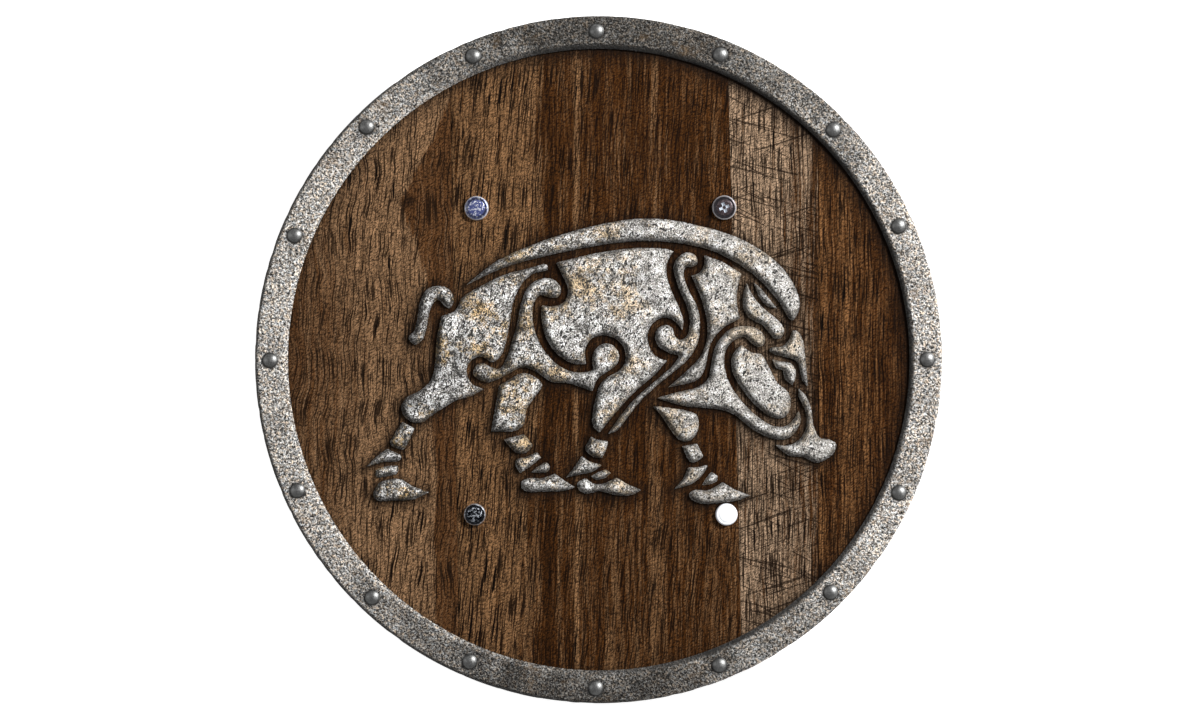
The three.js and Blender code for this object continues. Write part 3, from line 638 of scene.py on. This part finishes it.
def wood_relief(name, x, y, ends):
    """Height of a plank's face above flat, in mm: open grain, eased joints and a few gouges."""
    grain = ripple(x / 2.3 + 0.35 * ripple(x / 18, y / 60, 3), y / 42, 1)
    fine, swell = ripple(x / 1.3, y / 15, 2), ripple(x / 26, y / 90, 4)
    height = -np.abs(grain) ** 1.5 * 0.7 - 0.5 * np.clip(fine - 0.35, 0, 1) + 0.5 * swell
    if name == "right":
        # Gouges 1 to 2 mm wide and 15 to 50 mm long, scattered over the plank by steps that don't repeat.
        left, bottom, width, length = 122, -235, 73, 470
        for i in range(46):
            turn = math.radians(55 + 40 * math.sin(i * 2.3))
            right, up = x - left - (i * 31 % width), y - (i * 97 % length + bottom)
            along = right * math.cos(turn) + up * math.sin(turn)
            across = -right * math.sin(turn) + up * math.cos(turn)
            height -= 0.9 * hump(across, 0, 0.9) * step(16 + 9 * math.sin(i) - np.abs(along), 0, 6)
    height *= sizes().grain_depth / MM
    low, high = ends
    for gap in (x - low, high - x):
        height -= (sizes().joint_round / MM) * hump(gap, 0, 0.9)
    return height


def plate_tree():
    """All the boar's plates as one search tree."""
    corners, faces = [], []
    for name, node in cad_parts.items():
        if name.startswith("boar_"):
            start = len(corners)
            corners += [vertex.co.copy() for vertex in node.data.vertices]
            faces += [[start + i for i in face.vertices] for face in node.data.polygons]
    return BVHTree.FromPolygons(corners, faces)


def painted_shade_and_dirt_at(tree, x, y):
    """Painted shade on the wood round the plates, most at their lower left, and under the rim's lip, most at
    the upper right; and dirt in the knot.
    """
    near = np.zeros(len(x))
    # Painted shade round the plates, measured from a point moved up and to the right, so that it lies most at
    # their lower left.
    for i in np.nonzero((np.abs(x) < BOAR_HALF_WIDTH) & (np.abs(y) < BOAR_HALF_HEIGHT))[0]:
        spot = Vector(((x[i] + 2.0) * MM, (y[i] + 1.4) * MM, BOARD_FACE))
        found = tree.find_nearest(spot, 0.014)
        if found[3] is not None:
            near[i] = math.exp(-(found[3] / MM / 6.0) ** 1.3)
    # Painted shadow of the rim's lip on the wood, widest and darkest at the upper right.
    side = 0.5 + 0.5 * np.cos(np.arctan2(y, x) - math.radians(50))
    lip = np.clip((np.hypot(x, y) - (261 - 9 * side)) / (17 + 5 * side), 0, 1) ** 1.8
    knot = hump(x, KNOT_X, 3.6) * hump(y, KNOT_Y, 4.4)
    return np.clip(0.82 * near + 0.97 * lip * (0.3 + 0.7 * side) + 0.7 * knot, 0, 0.97)


class SHIELD_OT_planks(bpy.types.Operator):
    """Builds the four oak planks with their open grain, knot, scratches, dirt in the knot and painted shade
    """
    bl_idname = "shield.planks"
    bl_label = "Oak planks"

    def execute(self, context):
        plates = plate_tree()
        for index, (name, (columns, rows, *wood)) in enumerate(PLANKS.items()):
            inner_left, inner_right = index > 0, index < len(PLANKS) - 1
            bpy.ops.mesh.primitive_grid_add(x_subdivisions=columns, y_subdivisions=rows, size=1)
            piece = bpy.context.object
            points = points_of(piece)
            across, along = points[:, 0] + 0.5, points[:, 1] * 2
            (low, low_lean), (high, high_lean) = JOINTS[index], JOINTS[index + 1]
            # The joints lean and the ends are round, so each gives the other its place in a few rounds.
            y = np.zeros(len(across))
            for _ in range(4):
                left = low + low_lean * y + GLUE_LINE * inner_left
                right = high + high_lean * y - GLUE_LINE * inner_right
                x = left + (right - left) * across
                y = along * np.sqrt(np.maximum((BOARD_RADIUS / MM) ** 2 - x * x, 0))
            # The board's outer edges aren't eased, so for them the joint is far away.
            ends = (left if inner_left else left - 50, right if inner_right else right + 50)
            height = wood_relief(name, x, y, ends)
            height = np.where(np.hypot(x, y) > UNDER_RIM, np.minimum(height, 0) - 0.1, height)
            set_points(piece, np.stack([x * MM, y * MM, BOARD_FACE + height * MM], 1))
            paint(piece, "heart", heartwood(name, x, y))
            paint(piece, "grime", painted_shade_and_dirt_at(plates, x, y))
            editing(piece, True)
            bpy.ops.mesh.region_to_loop()
            bpy.ops.mesh.extrude_edges_move(TRANSFORM_OT_translate={"value": (0, 0, BOARD_BACK - BOARD_FACE)})
            bpy.ops.transform.resize(value=(1, 1, 0), center_override=(0, 0, BOARD_BACK))
            bpy.ops.mesh.edge_face_add()
            editing(piece, False)
            clean(piece)
            # The back is one plain tone.
            behind = points_of(piece)[:, 2] < BOARD_BACK + 0.0005
            for layer, level in (("heart", 0.45), ("grime", 0.08)):
                values = np.empty(len(behind), np.float32)
                piece.data.attributes[layer].data.foreach_get("value", values)
                values[behind] = level
                piece.data.attributes[layer].data.foreach_set("value", values)
            pale, dark = (getattr(colours(), name + end) for end in ("_pale", "_dark"))
            finish(piece, "oak_plank_" + name, oiled_oak(pale, dark, *wood), "oak", "plank_" + name)
        return {"FINISHED"}


# ---- Rim and rivets ----------------------------------------------------------------------------------

class SHIELD_OT_rim(bpy.types.Operator):
    """Builds the iron rim as a channel bent round the board, bevelled inside, dented and pitted"""
    bl_idname = "shield.rim"
    bl_label = "Iron rim"

    def execute(self, context):
        # Round the channel's section: the bevel, the face, the outer edge, the back flange and the slot.
        back, face, edge = RIM_BACK / MM, RIM_FACE / MM, BOARD_FACE / MM
        slot = BOARD_BACK / MM - 0.05
        profile = [(276, edge + 0.15), (275.9, face - 3.4), (276.6, face - 2.6), (278.2, face - 1.2),
                   (279.6, face - 0.35), (280.8, face)]
        profile += [(282.3 + 1.5 * i, face) for i in range(14)]
        profile += [(303.4, face - 0.1), (304.4, face - 0.6), (305, face - 1.5)]
        profile += [(305, face - 1.5 - 2.2 * i) for i in range(1, 8)]
        profile += [(304.9, back + 1.0), (304.2, back + 0.2), (303, back), (298, back), (293, back),
                    (288, back), (284, back), (283, back + 0.6), (283, slot), (302, slot), (302, edge + 0.15)]
        piece = turned(profile, 1280, ring=True)
        points = points_of(piece)
        radius, angle = np.hypot(points[:, 0], points[:, 1]), np.arctan2(points[:, 1], points[:, 0])
        front = points[:, 2] > BOARD_FACE

        # Painted shade round the rivets, most at their lower left, on the right of the bevel and along the
        # left of the outer edge, the sides turned away from the key light.
        grime = np.zeros(len(points))
        head, reach = 0.0064, 0.0014
        for name in RIVETS:
            middle = middle_of(name)
            gap = np.hypot(points[:, 0] - middle[0] + 0.0005, points[:, 1] - middle[1] + 0.0004)
            grime = np.maximum(grime, 0.95 * np.exp(-(np.maximum(gap - head, 0) / reach) ** 1.5))
        lee = step(0.5 + 0.5 * np.cos(angle - math.radians(15)), 0.24, 0.58)
        bevel = step(-radius, -0.2806, -0.2790) * front
        outer = 0.95 * step(radius, 0.3024, 0.3036) * (1 - lee)
        paint(piece, "grime", np.clip(np.maximum(grime * front, 0.92 * bevel * lee + outer), 0, 1))
        # Painted reflection and shade: darker at the top and bottom than at the left and right, and a little
        # darker on the right; the left of the bevel, which faces the key light, gets a painted highlight.
        tarnish = (0.5 - 0.5 * np.cos(2 * (angle - math.radians(178)))) ** 1.6
        tarnish += 0.2 * np.maximum(np.cos(angle - math.radians(20)), 0)
        paint(piece, "tarnish", tarnish - 0.5 * bevel * np.sqrt(np.maximum(-np.cos(angle), 0)))

        # Dents and pits, full along both edges of the face and weaker where the rivets sit.
        around, out, up = angle * RIM_MIDDLE, radius / MM, points[:, 2] / MM
        outside = step(np.abs(out - RIM_MIDDLE), 12.5, 14) + step(up, face - 1, face)
        outside = np.clip(outside, 0, 1) * (radius > 0.2755)
        outside *= (points[:, 2] > BOARD_FACE + 0.001) | (radius > 0.303)
        dents = ripple(around / 13, out / 11, 21) + 0.5 * ripple(around / 5, out / 5, 22)
        pits = ripple(around / 1.9, out / 1.9, 23)
        pits = -np.clip(pits - 0.2, 0, 1) * sizes().rim_pits * 1.4
        shift = outside * (np.clip(dents, -1, 0.35) * sizes().rim_dents * 0.5 + pits)
        points[:, 2] += np.where(points[:, 2] > RIM_FACE - 0.0035, shift, 0)
        # The outer edge is chipped inwards.
        chip = 0.0006 * np.clip(ripple(around / 7, points[:, 2] / MM / 6, 24) - 0.15, 0, 1)
        points[:, :2] *= (1 - np.where(radius > 0.3035, chip, 0) / radius)[:, None]
        set_points(piece, points)
        finish(piece, "iron_rim", rim_iron(), "rim_iron", "rim")
        return {"FINISHED"}


class SHIELD_OT_rivets(bpy.types.Operator):
    """Builds one rivet with a ringed dome and an upset tail, and copies it into all sixteen holes"""
    bl_idname = "shield.rivets"
    bl_label = "Rim rivets"

    def execute(self, context):
        face, back = RIM_FACE / MM, RIM_BACK / MM
        rise, radius = 3.4, 6.75
        sphere = (radius ** 2 + rise ** 2) / (2 * rise)
        dome = []
        for i in range(15):
            out = radius * 0.965 * i / 14
            turning = 0.045 * math.cos(i * math.pi) * (2 < i < 13)
            dome.append((out, face + rise - (sphere - math.sqrt(sphere ** 2 - out ** 2)) + turning))
        rivet = turned(dome + [
            (radius, face + 0.25), (radius, face - 0.55), (3, face - 0.55), (3, back + 0.1), (4.7, back),
            (4.8, back - 0.5), (4.1, back - 1.2), (2.4, back - 1.62), (0, back - 1.7)], 48)
        steel = rivet_steel()
        golden_turn = 2.39996
        for i, name in enumerate(RIVETS, 1):
            tilt = Matrix.Rotation(math.radians(1.6 * math.sin(i * 5.1)), 4, "X")
            tilt = Matrix.Translation((0, 0, RIM_FACE)) @ tilt @ Matrix.Translation((0, 0, -RIM_FACE))
            turn = Matrix.Rotation(i * golden_turn, 4, "Z")
            copy = copied(rivet, Matrix.Translation(middle_of(name)) @ turn @ tilt)
            finish(copy, name.replace("rim_", ""), steel, "rivet_steel", name)
        bpy.data.objects.remove(rivet)
        return {"FINISHED"}


# ---- Bolts, nuts and straps --------------------------------------------------------------------------

class SHIELD_OT_bolts(bpy.types.Operator):
    """Builds the four strap bolts with domed heads, one of them cross-slotted, and their flanged nuts"""
    bl_idname = "shield.bolts"
    bl_label = "Strap bolts and nuts"

    def execute(self, context):
        face, end = BOARD_FACE / MM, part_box("bolt_upper_left")[0][2] / MM
        profile = [(0, face + 4.5), (2.5, face + 4.46), (5, face + 4.3), (6.6, face + 4.05),
                   (7.1, face + 3.75), (7.6, face + 3.7), (8.1, face + 3.95), (8.9, face + 3.75),
                   (9.6, face + 3.1), (9.98, face + 2.0), (10, face + 0.2), (10, face - 0.6), (4, face - 0.6)]
        thread_top, pitch, valley = end + 12.6, 1.25, 0.62
        for i in range(10):
            height = thread_top - pitch * i
            profile += [(3.98, height), (3.45, height - valley)]
        profile += [(3.4, end + 0.3), (3.0, end), (0, end)]
        bolt = turned(profile, 56)
        # Each bolt's painted reflection: name, ground, mottled colour and how much of it, how bare, and the
        # head's spread.
        plates = {
            "upper_left": ("zinc_plate_blue", "#545d92", "#f4f6fd", 0.95, 0.7, 1.08),
            "upper_right": ("zinc_plate_brown", "#453a3c", "#7d7276", 0.5, 0.75, 1.08),
            "lower_left": ("black_oxide", "#04070e", "#e8eef8", 0.9, 0.95, 0.98),
            "lower_right": ("chalked_zinc", "#f6f8fa", "#dfe6f2", 0.6, 0.1, 0.98),
        }
        for place, plate in plates.items():
            copy = copied(bolt, Matrix.Identity(4))
            slotted = place == "upper_right"
            for turn in (20, 110) if slotted else ():
                bpy.ops.mesh.primitive_cube_add(size=1, location=(0, 0, BOARD_FACE + 0.0046))
                blade = bpy.context.object
                blade.data.transform(Matrix.Diagonal((8.4 * MM, 2.4 * MM, 3 * MM, 1)))
                blade.data.transform(Matrix.Rotation(math.radians(turn), 4, "Z"))
                boolean(copy, blade, "DIFFERENCE")
            points = points_of(copy)
            points[points[:, 2] > BOARD_FACE - 0.001, :2] *= plate[-1]
            set_points(copy, points)
            middle = Vector(middle_of("bolt_" + place))
            copy.data.transform(Matrix.Translation(middle))
            steel = bolt_steel_painted_reflections(*plate, middle, slotted)
            finish(copy, "strap_bolt_" + place, steel, "bolt_steel", "bolt_" + place)
        bpy.data.objects.remove(bolt)

        low, high = (corner[2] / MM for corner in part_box("nut_upper_left"))
        bpy.ops.mesh.primitive_cylinder_add(vertices=6, radius=7.5 * MM, depth=(high - low) * MM,
                                            location=(0, 0, (high + low) / 2 * MM))
        nut = bpy.context.object
        settle(nut)
        # The hexagon's corners are chamfered below, then it gets its flange and its bore.
        for operation, tool, steps in (
                ("INTERSECT", [(0, high - 1.2), (9, high - 1.2), (9, low + 1.3), (6.55, low), (0, low)], 48),
                ("UNION", [(0, high), (9.1, high), (9.5, high - 0.4), (9.4, high - 1.0), (7.3, high - 2.2),
                           (0, high - 2.4)], 48),
                ("DIFFERENCE", [(0, high + 1), (4.05, high + 1), (4.05, low + 0.7), (4.7, low - 0.2),
                                (0, low - 0.2)], 40)):
            boolean(nut, turned(tool, steps), operation)
        clean(nut, merge=2e-5)
        nut_turn = 0.37
        for i, place in enumerate(plates):
            middle = Vector(middle_of("nut_" + place))
            copy = copied(nut, Matrix.Translation(middle) @ Matrix.Rotation(i * nut_turn, 4, "Z"))
            steel = bolt_steel_painted_reflections("zinc_plate_nut_" + place, "#8a8d92", "#b9bcc0", 0.6, 1.0, 1.0, middle)
            finish(copy, "strap_nut_" + place, steel, "bolt_steel", "nut_" + place)
        bpy.data.objects.remove(nut)
        return {"FINISHED"}


class SHIELD_OT_straps(bpy.types.Operator):
    """Builds the two leather arm straps with rounded, burnished edges and two rows of stitches each"""
    bl_idname = "shield.straps"
    bl_label = "Arm straps"

    def execute(self, context):
        leather, thread = saddle_leather(), waxed_thread()
        # In mm: the strap's thickness, half its width and length, where it leaves the board and where it
        # reaches the floor, how far its stitches are from its edge and how deep they lie in it.
        thick, half, reach, bend_top, bend_low, seam, sunk = 4.5, 19.0, 156.0, 119.0, 72.0, 3.6, 0.46
        board = BOARD_BACK / MM - thick / 2

        def height_at(y):
            """Height of the leather's middle: against the board at the ends, and on the floor between."""
            part = step(bend_top - np.abs(y), 0, bend_top - bend_low)
            return board * (1 - part) + thick / 2 * part

        for side in ("left", "right"):
            centre = middle_of("strap_" + side)[0] / MM
            bpy.ops.mesh.primitive_grid_add(x_subdivisions=30, y_subdivisions=200, size=1)
            strap = bpy.context.object
            points = points_of(strap)
            y = points[:, 1] * 2 * (reach - 0.05)
            over = np.maximum(np.abs(y) - (reach - half), 0)
            x = centre + points[:, 0] * 2 * np.sqrt(np.maximum(half ** 2 - over ** 2, 2.0))
            set_points(strap, np.stack([x, y, height_at(y)], 1) * MM)
            apply(strap, "SOLIDIFY", thickness=thick * MM, offset=0.0)
            clean(strap)
            apply(strap, "BEVEL", width=1.3 * MM, segments=3, limit_method="ANGLE",
                  angle_limit=math.radians(60))
            # A groove for the stitches is pressed into both sides.
            points = points_of(strap)
            x, y = points[:, 0] / MM, points[:, 1] / MM
            inset = half - np.hypot(x - centre, np.maximum(np.abs(y) - (reach - half), 0))
            groove = 0.45 * hump(inset, seam, 0.7)
            points[:, 2] += np.sign(height_at(y) - points[:, 2] / MM) * groove * MM
            set_points(strap, points)
            paint(strap, "edge", 0.9 * hump(np.maximum(inset, 0), 0, 1.5) + 0.25 * groove)
            for place in ("upper", "lower"):
                spot = (*middle_of("bolt_%s_%s" % (place, side))[:2], BOARD_BACK - 0.002)
                bpy.ops.mesh.primitive_cylinder_add(vertices=40, radius=4.15 * MM, depth=0.012, location=spot)
                boolean(strap, bpy.context.object, "DIFFERENCE")
            finish(strap, "arm_strap_" + side, leather, "strap_leather", "strap_" + side)

            # One stitch, a capsule, then its copies along both edges.
            bpy.ops.mesh.primitive_uv_sphere_add(segments=8, ring_count=6, radius=0.5)
            stitch = bpy.context.object
            stitch.data.transform(Matrix.Diagonal((1.5 * MM, sizes().stitch_length, 0.9 * MM, 1)))
            copies = []
            pitch = sizes().stitch_pitch / MM
            for row in (-1, 1):
                for i in range(int((reach - half) * 2 / pitch) + 1):
                    y = -(reach - half) + i * pitch
                    behind, here, ahead = (float(height_at(np.array(y + away))) for away in (-0.5, 0, 0.5))
                    tilt = math.atan(ahead - behind)
                    z = here - (thick / 2 - sunk) / math.cos(tilt)
                    move = Matrix.Translation(Vector((centre + row * (half - seam), y, z)) * MM)
                    copies.append(copied(stitch, move @ Matrix.Rotation(tilt, 4, "X")))
            bpy.data.objects.remove(stitch)
            pick(*copies)
            bpy.ops.object.join()
            finish(bpy.context.object, "strap_stitches_" + side, thread, "strap_leather")
        return {"FINISHED"}


# ---- Boar --------------------------------------------------------------------------------------------

def cast(piece, seed):
    """Turn a sharp-edged plate into a casting: rounded edges, an uneven top and pits, flat underneath."""
    corners = [vertex.co.copy() for vertex in piece.data.vertices]
    walls = [face.vertices[:] for face in piece.data.polygons if abs(face.normal.z) < 0.2]
    outline = BVHTree.FromPolygons(corners, walls)
    apply(piece, "REMESH", mode="VOXEL", voxel_size=sizes().plate_cell)
    points = points_of(piece)
    foot, width = BOARD_FACE + sizes().plate_foot, sizes().plate_shoulder
    for point in points:
        if point[2] > foot:
            inset = outline.find_nearest(Vector((point[0], point[1], BOARD_FACE + 0.001)))[3]
            part = min(inset / width, 1)
            point[2] = min(point[2], foot + (PLATE_TOP - foot) * (1 - (1 - part) ** 1.7))
    set_points(piece, points)
    apply(piece, "SMOOTH", factor=0.5, iterations=sizes().plate_rounding)
    points = points_of(piece)
    x, y, z = (points / MM).T
    top = step(z, BOARD_FACE / MM + 1.6, PLATE_TOP / MM - 0.8)
    swell = ripple(x / 9, y / 9, 31 + seed) * 0.22
    pits = np.clip(ripple(x / 2.1, y / 2.1, 40) - 0.1, 0, 1)
    pits += 0.6 * np.clip(ripple(x / 1.2, y / 1.2, 41) - 0.2, 0, 1)
    rough = np.clip(1.15 - (x + 190) / 420, 0.3, 1.1)
    points[:, 2] += top * (swell - pits * rough * sizes().plate_pits / MM) * MM
    points[:, 2] = np.where(z < BOARD_FACE / MM + 0.35, BOARD_FACE - 0.0003, points[:, 2])
    points[:, 2] = np.minimum(points[:, 2], PLATE_TOP + 0.0004)
    set_points(piece, points)
    # Painted shade along the lower left shoulders, away from the key light, about 2 mm in from the edge.
    shade = np.zeros(len(points))
    for i in np.nonzero(points[:, 2] > BOARD_FACE + 0.0012)[0]:
        spot = Vector((points[i, 0] - 0.0021, points[i, 1] - 0.0014, BOARD_FACE + 0.001))
        shade[i] = math.exp(-(outline.find_nearest(spot)[3] / 0.0023) ** 2)
    paint(piece, "shade", shade)
    # The flat underside, which is sunk a little into the board, becomes one face.
    for parts in (piece.data.vertices, piece.data.edges):
        parts.foreach_set("select", np.zeros(len(parts), bool))
    under = [face.center.z < BOARD_FACE - 0.0002 and face.normal.z < -0.9 for face in piece.data.polygons]
    piece.data.polygons.foreach_set("select", under)
    editing(piece, True, select="")
    bpy.ops.mesh.select_mode(type="FACE")
    bpy.ops.mesh.dissolve_faces()
    editing(piece, False)
    return piece


class SHIELD_OT_boar(bpy.types.Operator):
    """Builds the boar: every plate cast with round shoulders and a pitted skin, and its three small toes"""
    bl_idname = "shield.boar"
    bl_label = "Boar plates"

    def execute(self, context):
        metal = cast_plate_metal()
        names = sorted(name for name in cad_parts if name.startswith("boar_"))
        for seed, name in enumerate(names):
            pick(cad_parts[name])
            bpy.ops.object.duplicate(linked=False)
            piece = bpy.context.object
            piece.parent = None
            piece.matrix_world = Matrix.Identity(4)
            editing(piece, True)
            bpy.ops.mesh.remove_doubles(threshold=1e-6)
            editing(piece, False)
            finish(cast(piece, seed), name.replace("boar_", "plate_"), metal, "plate_metal", name)
        for seed, (name, outline) in enumerate(TOES.items(), 60):
            bpy.ops.mesh.primitive_circle_add(vertices=len(outline), fill_type="NGON")
            piece = bpy.context.object
            for vertex, (x, y) in zip(piece.data.vertices, outline):
                vertex.co = (x * MM, y * MM, BOARD_FACE)
            editing(piece, True)
            bpy.ops.mesh.extrude_region_move(TRANSFORM_OT_translate={"value": (0, 0, PLATE_TOP - BOARD_FACE)})
            editing(piece, False)
            clean(piece)
            finish(cast(piece, seed), name, metal, "plate_metal")
        return {"FINISHED"}


# ---- Stage -------------------------------------------------------------------------------------------

class SHIELD_OT_stage(bpy.types.Operator):
    """Sets up the pale floor, the soft studio lights and a camera looking straight down"""
    bl_idname = "shield.stage"
    bl_label = "Stage"

    def execute(self, context):
        scene = context.scene
        just_below = -0.0002
        bpy.ops.mesh.primitive_plane_add(size=8, location=(0, 0, just_below))
        floor = context.object
        floor.name = "floor"
        material, _, shader, _ = new_material("matt_white_board")
        feed(shader, {"Base Color": (*colours().floor, 1), "Roughness": 0.9, "Specular IOR Level": 0.0,
                      "Emission Color": (1, 1, 1, 1), "Emission Strength": 0.76})
        floor.data.materials.append(material)

        scene.world = bpy.data.worlds.new("studio")
        scene.world.use_nodes = True
        feed(scene.world.node_tree.nodes["Background"], {"Color": (1, 1, 1, 1), "Strength": 0.34})
        scene.view_settings.view_transform = "Standard"
        scene.view_settings.look = "None"

        # Name, degrees round from +X, degrees above the floor, distance, width, height, watts.
        for name, around, above, away, wide, tall, power in (
                ("key_light", 33, 34, 2.6, 0.4, 0.4, 132), ("left_softbox", 176, 34, 2.4, 0.25, 1.2, 6),
                ("right_softbox", -4, 34, 2.4, 0.25, 1.2, 6)):
            bpy.ops.object.light_add(type="AREA")
            light = context.object
            light.name = name
            light.data.shape = "RECTANGLE"
            light.data.size, light.data.size_y, light.data.energy = wide, tall, power
            turn, lift = math.radians(around), math.radians(above)
            level = math.cos(lift)
            place = Vector((math.cos(turn) * level, math.sin(turn) * level, math.sin(lift))) * away
            light.location = place
            light.rotation_euler = (-place).to_track_quat("-Z", "Y").to_euler()

        # The camera stands a hair to the right of the middle, as far off as frames the shield with a margin.
        bpy.ops.object.camera_add(location=(0.00118, -0.00032, RIM_FACE + 3.548))
        camera = context.object
        camera.data.lens, camera.data.sensor_width, camera.data.clip_end = 120, 36, 20
        scene.camera = camera
        return {"FINISHED"}


class SHIELD_PT_panel(bpy.types.Panel):
    """The shield's sizes, colours and building steps"""
    bl_idname = "SHIELD_PT_panel"
    bl_label = "Boar shield"
    bl_space_type = "VIEW_3D"
    bl_region_type = "UI"
    bl_category = "Shield"

    def draw(self, context):
        for group in (context.scene.shield_sizes, context.scene.shield_colours):
            box = self.layout.box()
            for name in group.__annotations__:
                box.prop(group, name)
        for operator in OPERATORS:
            self.layout.operator(operator.bl_idname)


OPERATORS = (SHIELD_OT_planks, SHIELD_OT_rim, SHIELD_OT_rivets, SHIELD_OT_bolts, SHIELD_OT_straps,
             SHIELD_OT_boar, SHIELD_OT_stage)
CLASSES = (ShieldSizes, ShieldColours, *OPERATORS, SHIELD_PT_panel)


def register():
    """Register the classes and hang the settings on the scene."""
    for entry in CLASSES:
        bpy.utils.register_class(entry)
    bpy.types.Scene.shield_sizes = PointerProperty(type=ShieldSizes)
    bpy.types.Scene.shield_colours = PointerProperty(type=ShieldColours)


def unregister():
    """Take the settings and the classes away again."""
    del bpy.types.Scene.shield_colours
    del bpy.types.Scene.shield_sizes
    for entry in reversed(CLASSES):
        bpy.utils.unregister_class(entry)


def main():
    """Build the whole shield and its stage."""
    register()
    bpy.ops.shield.planks()
    bpy.ops.shield.rim()
    bpy.ops.shield.rivets()
    bpy.ops.shield.bolts()
    bpy.ops.shield.straps()
    bpy.ops.shield.boar()
    bpy.ops.shield.stage()


if __name__ == "__main__":
    main()
